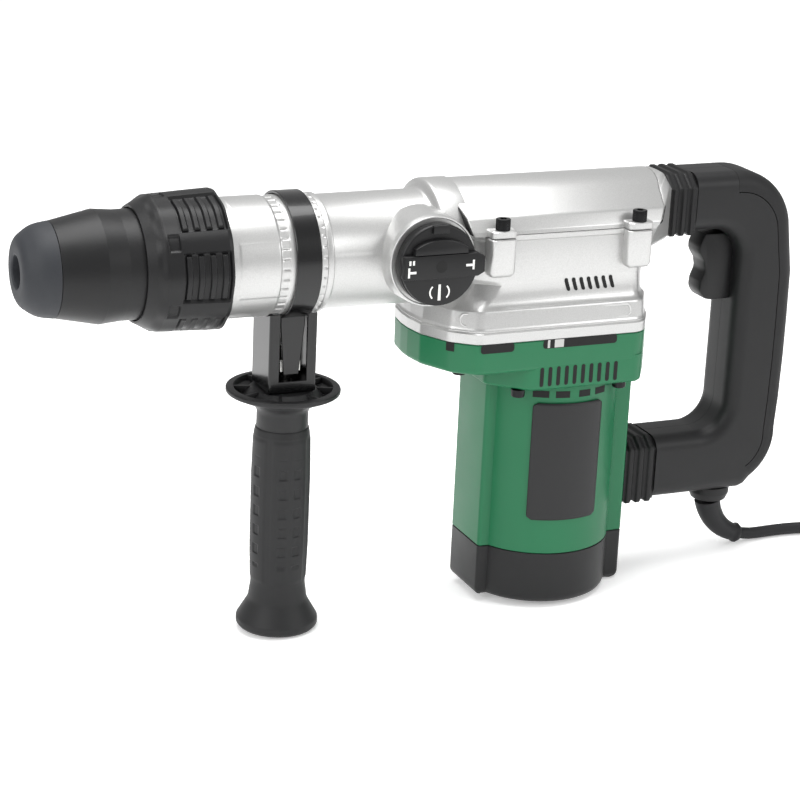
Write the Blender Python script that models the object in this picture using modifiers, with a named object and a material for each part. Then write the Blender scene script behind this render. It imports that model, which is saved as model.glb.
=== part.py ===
"""Rotary hammer with a tool socket, side handle, D-shaped rear handle and mains lead.

Metres, +Z up. The barrel's axis runs along X with the tool socket at -X, and the selector knob is on
the -Y side. The origin is the centre of the motor end cap's flat bottom. Heights below are measured from
the drawing's base line, CAP_BOTTOM_Z under that face, and build() moves the whole tool down by as much.
The side handle reaches lower than the motor, so the tool stands on the handle's foot and the cap's rear
edge, and the ground is a plane that rises towards the back by LEAN. The lead lies on that plane.
"""

import math

import bmesh
import bpy

# Driving dimensions
AXIS_Z = 0.222
CAP_BOTTOM_Z = 0.0035
FOOT_BOTTOM_Z = -0.0059
GAP = 0.0003
STEPS = 28

# Tool socket and front end, along the barrel's axis
NOSE_X = -0.326
NOSE_SEAM_X = -0.307
SLEEVE_EDGE_X = -0.2825
SLEEVE_END_X = -0.256
RING_FRONT_X = -0.2614
RING_EDGE_X = -0.251
RING_BACK_X = -0.2137
SHANK_BORE_R = 0.0092
NOSE_SEAM_R = 0.0269
SLEEVE_R = 0.0320
RING_R = 0.0408
HOLDER_R = 0.024
HAMMER_BORE_R = 0.019
HOLDER_END_X = -0.060

# Barrel and gear housing
BARREL_FRONT_X = -0.2415
BARREL_JOINT_X = -0.1567
BARREL_R = 0.0344
NECK_R = 0.033
NECK_BORE_R = 0.0285
HOUSING_FRONT_X = -0.094
HOUSING_BACK_X = 0.052
HOUSING_HALF_WIDTH = 0.0495
HOUSING_BASE_Z = 0.1735
HOUSING_STEP_Z = 0.207
HOUSING_SPLIT_Z = 0.236
COVER_R = 0.0383
COVER_WALL = 0.004
COVER_FRONT_X = -0.0770
COVER_BACK_X = 0.0500
FRONT_FLANGE_R = 0.0393
REAR_WALL_X = 0.0672
BOLT_XS = (-0.055, 0.032)
BOLT_Y = 0.0465
SELECTOR_X = -0.0970
SELECTOR_Z = 0.2240
SELECTOR_R = 0.0238
SELECTOR_FACE_Y = -0.0435

# Side handle
SIDE_X = -0.1685
BAND_HALF_WIDTH = 0.0076
BAND_THICKNESS = 0.0016
BRACKET_HALF = 0.0145
BRACKET_Z = 0.1430
FLANGE_R = 0.0337
GRIP_TOP_Z = 0.1190
FOOT_R = 0.0244
FOOT_FACE_R = 0.0226

# Motor
MOTOR_R = 0.045
MOTOR_BORE_R = 0.0412
MOTOR_BLOCK_X = (-0.047, 0.051)
MOTOR_BLOCK_HALF_WIDTH = 0.020
CAP_TOP_Z = 0.036
MOTOR_BOX_Z = 0.155
MOTOR_COLLAR_X = (-0.0540, 0.0505)
MOTOR_COLLAR_Z = 0.142
COLLAR_HALF_WIDTH = 0.0488

# Rear handle
ARM_FRONT_X = 0.0865
LOWER_ARM_FRONT_X = 0.0723
HANDLE_TOP_Z = 0.2583
ARM_UNDER_Z = 0.2225
LOWER_ARM_Z = (0.0525, 0.0930)
GRIP_FRONT_X = 0.121
HANDLE_BACK_X = 0.1615
HANDLE_HALF_WIDTH = 0.0195
GUIDE_Z = 0.2390
COVER_THICKNESS = 0.012
COVER_START_X = 0.1150
TRIGGER_HALF_WIDTH = 0.008

# Drive inside the housing
CRANK_X = -0.0345
CRANK_THROW = 0.014
DRIVE_GEAR_R = 0.0282
PINION_R = 0.006
CROSS_SHAFT_X = -0.0755
CROSS_GEAR_R = 0.0125
PISTON_X = -0.115

# Mains lead
CORD_R = 0.00375
GLAND_X = 0.1235
GLAND_Z = 0.0430
COIL_CENTRE = (0.305, 0.012)
COIL_R = (0.0312, 0.0538)
COIL_HEIGHT = 0.030
# Each point of the lead is X, Y and its height over the ground.
LEAD_ROUTE = (
    (0.1472, 0.0, 0.0070),
    (0.1570, 0.0, 0.0047),
    (0.1690, 0.0, 0.0041),
    (0.1800, -0.0010, 0.0041),
    (0.1950, -0.0045, 0.0041),
    (0.2130, -0.0130, 0.0041),
    (0.2380, -0.0280, 0.0041),
    (0.2650, -0.0400, 0.0041),
    (0.3045, -0.0464, 0.0041),
)
TAIL_ROUTE = (
    (0.3634, 0.0160, 0.0041),
    (0.3634, 0.0240, 0.0047),
    (0.3632, 0.0340, 0.0088),
    (0.3628, 0.0430, 0.0140),
    (0.3625, 0.0500, 0.0172),
)
PLUG_PLACE = (0.3624, 0.0520, 0.0179)
PLUG_HEADING = math.radians(92)


def clear_scene():
    for obj in list(bpy.data.objects):
        bpy.data.objects.remove(obj, do_unlink=True)


clear_scene()
PARTS = bpy.data.collections.new("rotary_hammer")
CUTTERS = bpy.data.collections.new("cutters")
bpy.context.scene.collection.children.link(PARTS)
bpy.context.scene.collection.children.link(CUTTERS)
CUTTERS.hide_render = True


LEAN_RUN = MOTOR_BLOCK_X[1] - 0.003 - (SIDE_X + FOOT_FACE_R)
LEAN = math.atan2(CAP_BOTTOM_Z - FOOT_BOTTOM_Z, LEAN_RUN)


def over_ground(point):
    """A place given by X, Y and height over the ground, which is the plane the tool stands on."""
    x, y, height = point
    return (x, y, FOOT_BOTTOM_Z + (x - SIDE_X - FOOT_FACE_R) * math.tan(LEAN) + height)


def material(name, colour, roughness, metallic=0.0):
    """A Principled material with one colour, given in linear values."""
    mat = bpy.data.materials.new(name)
    mat.use_nodes = True
    shader = mat.node_tree.nodes["Principled BSDF"]
    shader.inputs["Base Color"].default_value = (*colour, 1.0)
    shader.inputs["Roughness"].default_value = roughness
    shader.inputs["Metallic"].default_value = metallic
    mat.diffuse_color = (*colour, 1.0)
    return mat


CAST = material("silver_painted_casting", (0.62, 0.62, 0.61), 0.38, 0.6)
GREEN = material("green_moulding", (0.022, 0.165, 0.085), 0.45)
BLACK = material("black_moulding", (0.018, 0.018, 0.019), 0.5)
SOFT = material("soft_black_rubber", (0.022, 0.022, 0.023), 0.75)
GLOSS = material("black_coated_steel", (0.012, 0.012, 0.012), 0.25, 0.5)
STEEL = material("bright_steel", (0.55, 0.55, 0.54), 0.3, 1.0)
COPPER = material("winding_copper", (0.45, 0.16, 0.07), 0.4, 1.0)
CARBON = material("brush_carbon", (0.03, 0.03, 0.032), 0.7)
LABEL = material("label_film", (0.025, 0.025, 0.026), 0.6)


def as_object(name, mesh, mat, location=(0, 0, 0), rotation=(0, 0, 0)):
    obj = bpy.data.objects.new(name, mesh)
    obj.location = location
    obj.rotation_euler = rotation
    mesh.materials.clear()
    mesh.materials.append(mat)
    PARTS.objects.link(obj)
    return obj


ALONG_X = (0, math.pi / 2, 0)
ALONG_Y = (-math.pi / 2, 0, 0)
ALONG_Z = (0, 0, 0)
FACING_Y = (math.pi / 2, 0, 0)
FACING_X = (math.pi / 2, 0, math.pi / 2)


def turned(name, profile, mat, location=(0, 0, AXIS_Z), axis=ALONG_X, ring=True, steps=STEPS):
    """A profile of (radius, height) turned round an axis: closed when ring, else from axis to axis."""
    shape = bmesh.new()
    points = [shape.verts.new((radius, 0, height)) for radius, height in profile]
    for first, second in zip(points, points[1:]):
        shape.edges.new((first, second))
    if ring:
        shape.edges.new((points[-1], points[0]))
    mesh = bpy.data.meshes.new(name)
    shape.to_mesh(mesh)
    shape.free()
    obj = as_object(name, mesh, mat, location, axis)
    screw = obj.modifiers.new("Turn", "SCREW")
    screw.steps = steps
    screw.render_steps = steps
    screw.use_merge_vertices = True
    screw.merge_threshold = 0.00001
    screw.use_smooth_shade = False
    return obj


def rod(name, radius, start, end, mat, location=(0, 0, AXIS_Z), axis=ALONG_X, steps=STEPS):
    """A round bar between two heights on its axis."""
    profile = ((0, end), (radius, end), (radius, start), (0, start))
    return turned(name, profile, mat, location, axis, ring=False, steps=steps)


def tube(name, inner, outer, start, end, mat, location=(0, 0, AXIS_Z), axis=ALONG_X, steps=STEPS):
    """A plain ring between two heights on its axis."""
    profile = ((outer, end), (outer, start), (inner, start), (inner, end))
    return turned(name, profile, mat, location, axis, steps=steps)


def block(name, x, y, z, mat, bevel=0.0):
    """A box between two values on each axis, its vertical and level edges bevelled."""
    shape = bmesh.new()
    bmesh.ops.create_cube(shape, size=1.0)
    size = (x[1] - x[0], y[1] - y[0], z[1] - z[0])
    bmesh.ops.scale(shape, vec=size, verts=shape.verts)
    mesh = bpy.data.meshes.new(name)
    shape.to_mesh(mesh)
    shape.free()
    centre = ((x[0] + x[1]) / 2, (y[0] + y[1]) / 2, (z[0] + z[1]) / 2)
    obj = as_object(name, mesh, mat, centre)
    if bevel:
        round_edges(obj, bevel, 2)
    return obj


def round_edges(obj, width, segments=2):
    bevel = obj.modifiers.new("Round", "BEVEL")
    bevel.width = width
    bevel.segments = segments
    bevel.limit_method = "ANGLE"
    bevel.angle_limit = math.radians(40)
    return obj


def as_mesh(name, source, mat):
    """The evaluated mesh of a curve object with its loose caps welded, in place of the curve."""
    bpy.context.view_layer.update()
    graph = bpy.context.evaluated_depsgraph_get()
    mesh = bpy.data.meshes.new_from_object(source.evaluated_get(graph))
    shape = bmesh.new()
    shape.from_mesh(mesh)
    bmesh.ops.remove_doubles(shape, verts=shape.verts, dist=0.000001)
    bmesh.ops.dissolve_limit(shape, angle_limit=0.002, verts=shape.verts, edges=shape.edges)
    bmesh.ops.recalc_face_normals(shape, faces=shape.faces)
    shape.to_mesh(mesh)
    shape.free()
    obj = as_object(name, mesh, mat)
    obj.matrix_world = source.matrix_world.copy()
    bpy.data.objects.remove(source, do_unlink=True)
    return obj


def extruded(name, points, depth, mat, location=(0, 0, 0), rotation=(0, 0, 0)):
    """A flat outline in its own XY with a thickness along its own Z, centred on its location."""
    curve = bpy.data.curves.new(name, "CURVE")
    curve.dimensions = "2D"
    curve.fill_mode = "BOTH"
    curve.extrude = depth / 2
    spline = curve.splines.new("POLY")
    spline.points.add(len(points) - 1)
    for point, (x, y) in zip(spline.points, points):
        point.co = (x, y, 0, 1)
    spline.use_cyclic_u = True
    source = bpy.data.objects.new(name + "_outline", curve)
    source.location = location
    source.rotation_euler = rotation
    PARTS.objects.link(source)
    return as_mesh(name, source, mat)


def wire(name, points, radius, mat, resolution=2, radii=None):
    """A round wire or tube along points, with filled caps."""
    curve = bpy.data.curves.new(name, "CURVE")
    curve.dimensions = "3D"
    curve.bevel_depth = radius
    curve.bevel_resolution = resolution
    curve.use_fill_caps = True
    spline = curve.splines.new("POLY")
    spline.points.add(len(points) - 1)
    for index, place in enumerate(points):
        spline.points[index].co = (*place, 1)
        spline.points[index].radius = radii[index] if radii else 1.0
    source = bpy.data.objects.new(name + "_path", curve)
    PARTS.objects.link(source)
    return as_mesh(name, source, mat)


def boolean(target, other, operation):
    modifier = target.modifiers.new(operation.title(), "BOOLEAN")
    modifier.operation = operation
    modifier.solver = "EXACT"
    modifier.object = other
    if other.name not in CUTTERS.objects:
        PARTS.objects.unlink(other)
        CUTTERS.objects.link(other)
    other.hide_render = True
    other.display_type = "WIRE"


def cut(target, *others):
    for other in others:
        boolean(target, other, "DIFFERENCE")
    return target


def join(target, *others):
    for other in others:
        boolean(target, other, "UNION")
    return target


def pivot(name, place):
    """An empty on a joint's axis that carries the pieces which move with it."""
    empty = bpy.data.objects.new(name, None)
    empty.location = place
    empty.empty_display_size = 0.01
    PARTS.objects.link(empty)
    return empty


def carry(empty, *objects):
    bpy.context.view_layer.update()
    for obj in objects:
        obj.parent = empty
        obj.matrix_parent_inverse = empty.matrix_world.inverted()


def arc(centre, radius, start, end, count):
    """Points on a circle's arc, from start to end in degrees."""
    angles = [math.radians(start + (end - start) * step / (count - 1)) for step in range(count)]
    return [(centre[0] + radius * math.cos(a), centre[1] + radius * math.sin(a)) for a in angles]


def gear_outline(teeth, tip_r, root_r):
    """A wheel with straight-sided teeth: each tooth has two points on its tip and two in its root."""
    points = []
    for tooth in range(teeth):
        start = 2 * math.pi * tooth / teeth
        for share, radius in ((-0.18, tip_r), (0.18, tip_r), (0.32, root_r), (0.68, root_r)):
            angle = start + 2 * math.pi * share / teeth
            points.append((radius * math.cos(angle), radius * math.sin(angle)))
    return points


def smooth_route(points, spacing):
    """Points about one spacing apart on a Catmull-Rom curve through the given points."""
    ends = [points[0], *points, points[-1]]
    fine = []
    for before, start, end, after in zip(ends, ends[1:], ends[2:], ends[3:]):
        count = max(1, round(math.dist(start, end) / spacing))
        for step in range(count):
            t = step / count
            fine.append(
                tuple(
                    0.5 * (2 * b + (c - a) * t + (2 * a - 5 * b + 4 * c - d) * t**2)
                    + 0.5 * (3 * b - a - 3 * c + d) * t**3
                    for a, b, c, d in zip(before, start, end, after)
                )
            )
    return [*fine, points[-1]]


# Front end


def nose_cap():
    """Rubber dust cap with a rounded front and the hole that the tool's shank goes through."""
    front = NOSE_X
    profile = [(NOSE_SEAM_R, NOSE_SEAM_X - GAP), (0.0262, -0.3135), (0.0240, -0.3195), (0.0205, -0.3237)]
    profile += [(0.0160, front), (0.0095, front + 0.0004), (SHANK_BORE_R - 0.0002, front + 0.0014)]
    profile += [(SHANK_BORE_R - 0.0002, front + 0.0055), (0.0140, front + 0.0055)]
    profile += [(0.0140, NOSE_SEAM_X - GAP)]
    return turned("nose_cap", profile, SOFT)


def front_sleeve():
    """Conical sleeve behind the rubber cap, which turns with the tool holder."""
    profile = ((0.0311, SLEEVE_END_X), (0.0316, SLEEVE_EDGE_X + 0.001), (SLEEVE_R, SLEEVE_EDGE_X))
    profile += ((NOSE_SEAM_R, NOSE_SEAM_X), (0.0184, NOSE_SEAM_X), (0.0184, -0.300), (0.0250, -0.299))
    profile += ((0.0250, SLEEVE_END_X),)
    return turned("front_sleeve", profile, BLACK)


def locking_ring():
    """Ribbed ring that is pulled back against its spring to free the tool."""
    profile = ((0.0396, RING_BACK_X), (RING_R, RING_BACK_X - 0.0015), (0.0400, -0.232))
    profile += ((0.0390, RING_EDGE_X),)
    profile += ((0.0330, RING_FRONT_X), (0.0318, RING_FRONT_X), (0.0318, -0.252), (0.0352, -0.252))
    profile += ((0.0352, RING_BACK_X),)
    return turned("locking_ring", profile, BLACK)


def lock_spring():
    """Flat return spring between the locking ring and the barrel's front edge."""
    turns = 3
    points_per_turn = 16
    front = -0.2508
    back = BARREL_FRONT_X - 0.0012
    points = []
    for step in range(turns * points_per_turn + 1):
        share = step / (turns * points_per_turn)
        angle = 2 * math.pi * turns * share
        x = front + (back - front) * share
        points.append((x, 0.0331 * math.cos(angle), AXIS_Z + 0.0331 * math.sin(angle)))
    return wire("lock_spring", points, 0.0008, STEEL)


def tool_holder():
    """Hammer tube: the shank's bore, the wider bore behind it, and a slot for each locking roller."""
    profile = ((HOLDER_R, HOLDER_END_X), (HOLDER_R, -0.2985), (0.0179, -0.2985), (0.0179, NOSE_SEAM_X))
    profile += ((0.0135, NOSE_SEAM_X), (0.0135, -0.3180), (SHANK_BORE_R, -0.3180), (SHANK_BORE_R, -0.262))
    profile += ((0.0130, -0.262), (0.0130, -0.240), (HAMMER_BORE_R, -0.240), (HAMMER_BORE_R, HOLDER_END_X))
    holder = turned("tool_holder", profile, STEEL)
    slot_z = (AXIS_Z - 0.03, AXIS_Z + 0.03)
    slot = block("roller_slot_cutter", (-0.2965, -0.2755), (-0.0037, 0.0037), slot_z, STEEL)
    return cut(holder, slot)


def locking_roller(name, side):
    """Hardened roller that drops into the groove of the tool's shank."""
    place = (0, 0, AXIS_Z + side * 0.0160)
    return rod(name, 0.0034, -0.2962, -0.2758, STEEL, place, steps=16)


# Barrel and housing


def barrel_tube():
    """Front casting of the barrel, stepped inside for the hammer tube's bearing."""
    profile = ((BARREL_R, BARREL_JOINT_X), (BARREL_R, BARREL_FRONT_X), (0.0310, BARREL_FRONT_X))
    profile += ((0.0310, -0.205), (0.0280, -0.205), (0.0280, BARREL_JOINT_X))
    return turned("barrel_tube", profile, CAST)


def front_bearing():
    return tube("front_bearing", HOLDER_R + GAP, 0.0307, -0.2250, -0.2100, STEEL)


def plan_outline(inset, front=HOUSING_FRONT_X):
    """Outline of the housing seen from above: a blunt nose, two parallel sides and a chamfered back."""
    half = [(HOUSING_BACK_X - 0.001, 0.0330), (0.0385, HOUSING_HALF_WIDTH - 0.001)]
    half += [(-0.0700, HOUSING_HALF_WIDTH)]
    half += [(-0.0800, 0.0475), (-0.0880, 0.0370), (-0.0925, 0.0200), (HOUSING_FRONT_X, 0.0060)]
    middle = (HOUSING_BACK_X + HOUSING_FRONT_X) / 2
    half_length = (HOUSING_BACK_X - HOUSING_FRONT_X) / 2
    shrink_x = 1 - inset / half_length
    shrink_y = 1 - inset / HOUSING_HALF_WIDTH
    half = [(max(middle + (x - middle) * shrink_x, front), y * shrink_y) for x, y in half]
    return half + [(x, -y) for x, y in reversed(half)]


def plan_solid(name, inset, low, high, mat, front=HOUSING_FRONT_X):
    return extruded(name, plan_outline(inset, front), high - low, mat, (0, 0, (low + high) / 2))


def bolt_boss(name, x, side, low, high, reach):
    """Lug for one housing bolt on the side wall."""
    y = sorted((side * 0.036, side * reach))
    return block(name, (x - 0.0085, x + 0.0085), y, (low, high), CAST, 0.002)


def bolt_hole(name, x, side):
    return rod(name, 0.0025, 0.2195, 0.260, CAST, (x, side * BOLT_Y, 0), ALONG_Z, steps=12)


def gear_housing():
    """Lower gear casting with the barrel's neck, the selector's boss and the wall before the handle."""
    housing = plan_solid("gear_housing", 0.0, HOUSING_BASE_Z, 0.1812, CAST)
    join(housing, plan_solid("housing_lower_walls", 0.0025, 0.1805, HOUSING_STEP_Z, CAST))
    wall_z = (HOUSING_STEP_Z - 0.001, HOUSING_SPLIT_Z)
    join(housing, plan_solid("housing_upper_walls", 0.0062, *wall_z, CAST, -0.082))
    join(housing, rod("housing_neck", NECK_R, BARREL_JOINT_X + GAP, -0.0675, CAST))
    join(housing, rod("housing_front_flange", FRONT_FLANGE_R, -0.0870, COVER_FRONT_X - GAP, CAST))
    boss_place = (SELECTOR_X, 0, SELECTOR_Z)
    boss = rod("selector_boss", 0.0270, SELECTOR_FACE_Y, -0.0190, CAST, boss_place, ALONG_Y, steps=30)
    join(housing, boss)
    rear = block("housing_rear_wall", (0.044, REAR_WALL_X), (-0.0240, 0.0240), (0.2185, 0.2585), CAST, 0.007)
    join(housing, rear)
    over_cover = (HOUSING_SPLIT_Z, HOUSING_SPLIT_Z + COVER_R)
    cut(housing, block("cover_room", (0.0300, COVER_BACK_X + GAP), (-0.0500, 0.0500), over_cover, CAST))
    for index, (x, side) in enumerate((x, side) for x in BOLT_XS for side in (-1, 1)):
        join(housing, bolt_boss(f"housing_boss_{index}", x, side, 0.2120, HOUSING_SPLIT_Z - 0.0001, 0.0515))
    cut(housing, rod("barrel_bore", NECK_BORE_R, -0.160, -0.060, CAST))
    cut(housing, block("gear_room", (-0.0700, 0.0420), (-0.0370, 0.0370), (0.1790, 0.2700), CAST))
    cut(housing, block("cross_gear_room", (-0.0900, -0.0600), (-0.0140, 0.0140), (0.1792, 0.2050), CAST))
    cut(housing, rod("motor_shaft_hole", 0.0120, 0.170, 0.185, CAST, (0, 0, 0), ALONG_Z, steps=20))
    cut(housing, rod("selector_shaft_hole", 0.0063, -0.050, -0.015, CAST, boss_place, ALONG_Y, steps=16))
    cut(housing, rod("guide_rod_hole", 0.0042, 0.040, 0.070, CAST, (0, 0, GUIDE_Z), steps=16))
    recess = (-0.0600, SELECTOR_FACE_Y + 0.0001)
    cut(housing, rod("selector_recess", SELECTOR_R + 0.0012, *recess, CAST, boss_place, ALONG_Y, steps=36))
    for index, (x, side) in enumerate((x, side) for x in BOLT_XS for side in (-1, 1)):
        cut(housing, bolt_hole(f"housing_bolt_hole_{index}", x, side))
    return use_manifold_solver(housing)


def gear_cover():
    """Arched upper half of the gear housing, on four lugs."""
    low = HOUSING_SPLIT_Z + GAP
    outer = [(0.0432, low), (0.0375, 0.2459)] + arc((0, AXIS_Z), COVER_R, 55, 125, 13)
    outer += [(-0.0375, 0.2459), (-0.0432, low)]
    inner = [(-0.0380, low), (-0.0340, 0.2425)] + arc((0, AXIS_Z), COVER_R - COVER_WALL, 125, 55, 11)
    inner += [(0.0340, 0.2425), (0.0380, low)]
    length = COVER_BACK_X - COVER_FRONT_X
    place = ((COVER_BACK_X + COVER_FRONT_X) / 2, 0, 0)
    cover = extruded("gear_cover", outer + inner, length, CAST, place, FACING_X)
    for index, (x, side) in enumerate((x, side) for x in BOLT_XS for side in (-1, 1)):
        join(cover, bolt_boss(f"cover_lug_{index}", x, side, low, 0.2410, 0.0515))
    boss_place = (SELECTOR_X, 0, SELECTOR_Z)
    cut(cover, rod("cover_boss_notch", 0.0275, -0.0600, -0.0180, CAST, boss_place, ALONG_Y, steps=30))
    for index, (x, side) in enumerate((x, side) for x in BOLT_XS for side in (-1, 1)):
        cut(cover, bolt_hole(f"cover_bolt_hole_{index}", x, side))
    return use_manifold_solver(cover)


def use_manifold_solver(obj):
    """The manifold solver, for a piece whose crossing round faces leave the exact one with open edges."""
    for modifier in obj.modifiers:
        if modifier.type == "BOOLEAN":
            modifier.solver = "MANIFOLD"
    return obj


def housing_bolt(name, x, side):
    """Socket-head bolt that holds the cover down."""
    top = 0.2474
    profile = ((0, top - 0.003), (0.0021, top - 0.003), (0.0021, top), (0.0039, top), (0.0041, top - 0.0006))
    profile += ((0.0041, 0.2413), (0.0022, 0.2413), (0.0022, 0.2205), (0, 0.2205))
    return turned(name, profile, GLOSS, (x, side * BOLT_Y, 0), ALONG_Z, ring=False, steps=16)


def selector_knob():
    """Round mode selector with a raised bar whose pointed end reaches past the disc."""
    place = (SELECTOR_X, 0, SELECTOR_Z)
    back = SELECTOR_FACE_Y - GAP
    disc = rod("selector_knob", SELECTOR_R, back - 0.0070, back, BLACK, place, ALONG_Y, steps=36)
    bar = [(-0.0215, -0.0065), (0.0240, -0.0065), (0.0300, -0.0045), (0.0300, 0.0045), (0.0240, 0.0065)]
    bar += [(-0.0215, 0.0065)]
    thickness = 0.0072
    middle = (SELECTOR_X, back - 0.0048 - thickness / 2, SELECTOR_Z)
    join(disc, extruded("selector_bar", bar, thickness, BLACK, middle, FACING_Y))
    return cut(disc, rod("selector_socket", 0.0032, -0.058, -0.0455, BLACK, place, ALONG_Y, steps=12))


def selector_shaft():
    """Shaft of the selector with the eccentric pin that shifts the drive."""
    place = (SELECTOR_X, 0, SELECTOR_Z)
    shaft = rod("selector_shaft", 0.0060, SELECTOR_FACE_Y, -0.0265, STEEL, place, ALONG_Y, steps=16)
    pin_place = (SELECTOR_X + 0.0032, 0, SELECTOR_Z)
    return join(shaft, rod("selector_pin", 0.0020, -0.0275, -0.0250, STEEL, pin_place, ALONG_Y, steps=12))


# Motor


def motor_section(name, low, high, grow, mat):
    """The motor's cross-section, a cylinder with a square block across it, between two heights."""
    core = rod(name, MOTOR_R + grow, low, high, mat, (0, 0, 0), ALONG_Z, steps=40)
    x = (MOTOR_BLOCK_X[0] - grow, MOTOR_BLOCK_X[1] + grow)
    half = MOTOR_BLOCK_HALF_WIDTH + grow
    join(core, block(name + "_shoulders", x, (-half, half), (low, high), mat))
    return core


def motor_housing():
    """Green housing: the box under the gear casting, its deeper collar, and the motor's barrel."""
    housing = motor_section("motor_housing", CAP_TOP_Z + GAP, 0.150, 0.0, GREEN)
    join(housing, plan_solid("motor_box", 0.0004, MOTOR_BOX_Z, HOUSING_BASE_Z - GAP, GREEN))
    width = (-COLLAR_HALF_WIDTH, COLLAR_HALF_WIDTH)
    join(housing, block("motor_collar", MOTOR_COLLAR_X, width, (MOTOR_COLLAR_Z, 0.160), GREEN, 0.004))
    cut(housing, rod("motor_bore", MOTOR_BORE_R, 0.030, 0.1655, GREEN, (0, 0, 0), ALONG_Z))
    return cut(housing, rod("bearing_seat", 0.0133, 0.160, 0.180, GREEN, (0, 0, 0), ALONG_Z, steps=20))


def motor_end_cap():
    """Black cap that closes the motor and stands on the ground, with the lower bearing's cup."""
    cap = motor_section("motor_end_cap", CAP_BOTTOM_Z, CAP_TOP_Z, 0.0, BLACK)
    round_edges(cap, 0.003, 2)
    cut(cap, rod("cap_bore", 0.041, 0.0095, 0.040, BLACK, (0, 0, 0), ALONG_Z))
    cup = tube("bearing_cup", 0.0085, 0.0120, 0.0090, 0.0175, BLACK, (0, 0, 0), ALONG_Z, steps=20)
    return join(cap, cup)


def label_plate():
    """Thin blank plate that follows the motor's curve."""
    inner = MOTOR_R + GAP
    outline = arc((0, 0), inner, 236, 294, 9) + arc((0, 0), inner + 0.0008, 294, 236, 9)
    return extruded("label_plate", outline, 0.0740, LABEL, (0, 0, 0.0950))


def motor_screw(name, x, y, top):
    """Pan-head screw under the box, which fixes the motor housing to the gear casting."""
    profile = ((0, top), (0.0042, top), (0.0042, top - 0.0040), (0.0034, top - 0.0050), (0, top - 0.0050))
    return turned(name, profile, GLOSS, (x, y, 0), ALONG_Z, ring=False, steps=14)


def stator():
    return tube("stator", 0.0300, MOTOR_BORE_R - GAP, 0.055, 0.115, COPPER, (0, 0, 0), ALONG_Z)


def armature():
    """Rotor on its shaft, with the drive pinion at the top."""
    top = 0.192
    profile = ((0, top), (PINION_R, top), (PINION_R, 0.182), (0.0050, 0.182), (0.0050, 0.112))
    profile += ((0.0285, 0.112), (0.0285, 0.058), (0.0050, 0.058), (0.0050, 0.0100), (0, 0.0100))
    return turned("armature", profile, STEEL, (0, 0, 0), ALONG_Z, ring=False, steps=24)


def commutator():
    return tube("commutator", 0.0053, 0.0140, 0.036, 0.052, COPPER, (0, 0, 0), ALONG_Z, steps=24)


def cooling_fan():
    """Radial fan: a plate and hub with straight blades under it."""
    fan = tube("cooling_fan", 0.0053, 0.0385, 0.1330, 0.1360, BLACK, (0, 0, 0), ALONG_Z, steps=24)
    blades = extruded("fan_blades", gear_outline(11, 0.0380, 0.0120), 0.0085, BLACK, (0, 0, 0.1292))
    return cut(join(fan, blades), rod("fan_bore", 0.0053, 0.120, 0.140, BLACK, (0, 0, 0), ALONG_Z, steps=24))


def lower_bearing():
    return tube("lower_bearing", 0.0053, 0.0082, 0.0100, 0.0170, STEEL, (0, 0, 0), ALONG_Z, steps=20)


def upper_bearing():
    return tube("upper_bearing", 0.0053, 0.0130, 0.1640, 0.1720, STEEL, (0, 0, 0), ALONG_Z, steps=20)


def carbon_brush(name, side):
    """Carbon brush that runs on the commutator."""
    x = sorted((side * 0.0145, side * 0.0290))
    return block(name, x, (-0.0035, 0.0035), (0.038, 0.050), CARBON)


# Drive


def drive_gear():
    """Toothed wheel with the crank disc on top and its short shaft below."""
    place = (CRANK_X, 0, 0.187)
    gear = extruded("drive_gear", gear_outline(38, DRIVE_GEAR_R, 0.0265), 0.008, STEEL, place)
    join(gear, rod("crank_disc", 0.0200, 0.190, 0.199, STEEL, (CRANK_X, 0, 0), ALONG_Z))
    return join(gear, rod("crank_shaft", 0.0060, 0.1795, 0.184, STEEL, (CRANK_X, 0, 0), ALONG_Z, steps=16))


def crank_pin():
    """Pin in the rod's big end, just clear of the crank disc: the closed linkage is opened here."""
    place = (CRANK_X - CRANK_THROW, 0, 0)
    return rod("crank_pin", 0.0040, 0.1995, 0.2275, STEEL, place, ALONG_Z, steps=16)


def connecting_rod():
    """Flat rod between the crank pin and the piston's pin, with an eye at each end."""
    big = (CRANK_X - CRANK_THROW, 0)
    small = (PISTON_X, 0)
    outline = arc(big, 0.0080, -120, 120, 9) + arc(small, 0.0065, 130, 230, 7)
    rod_body = extruded("connecting_rod", outline, 0.008, STEEL, (0, 0, AXIS_Z))
    cut(rod_body, rod("big_eye", 0.0043, 0.210, 0.240, STEEL, (*big, 0), ALONG_Z, steps=16))
    return cut(rod_body, rod("small_eye", 0.0038, 0.210, 0.240, STEEL, (*small, 0), ALONG_Z, steps=16))


def piston_pin():
    ends = (AXIS_Z - 0.0150, AXIS_Z + 0.0150)
    return rod("piston_pin", 0.0035, *ends, STEEL, (PISTON_X, 0, 0), ALONG_Z, steps=16)


def piston():
    """Piston open at the back for the rod, with a cross hole for its pin."""
    profile = ((0, -0.1300), (0.0120, -0.1300), (0.0120, -0.1040), (0.0186, -0.1040))
    profile += ((0.0186, -0.1360), (0, -0.1360))
    body = turned("piston", profile, STEEL, ring=False)
    ends = (AXIS_Z - 0.022, AXIS_Z + 0.022)
    return cut(body, rod("pin_hole", 0.0038, *ends, STEEL, (PISTON_X, 0, 0), ALONG_Z, steps=16))


def striker():
    """Free-flying hammer ahead of the piston's air cushion."""
    profile = ((0, -0.1500), (0.0186, -0.1500), (0.0186, -0.1720), (0.0100, -0.1800), (0, -0.1800))
    return turned("striker", profile, STEEL, ring=False)


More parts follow.
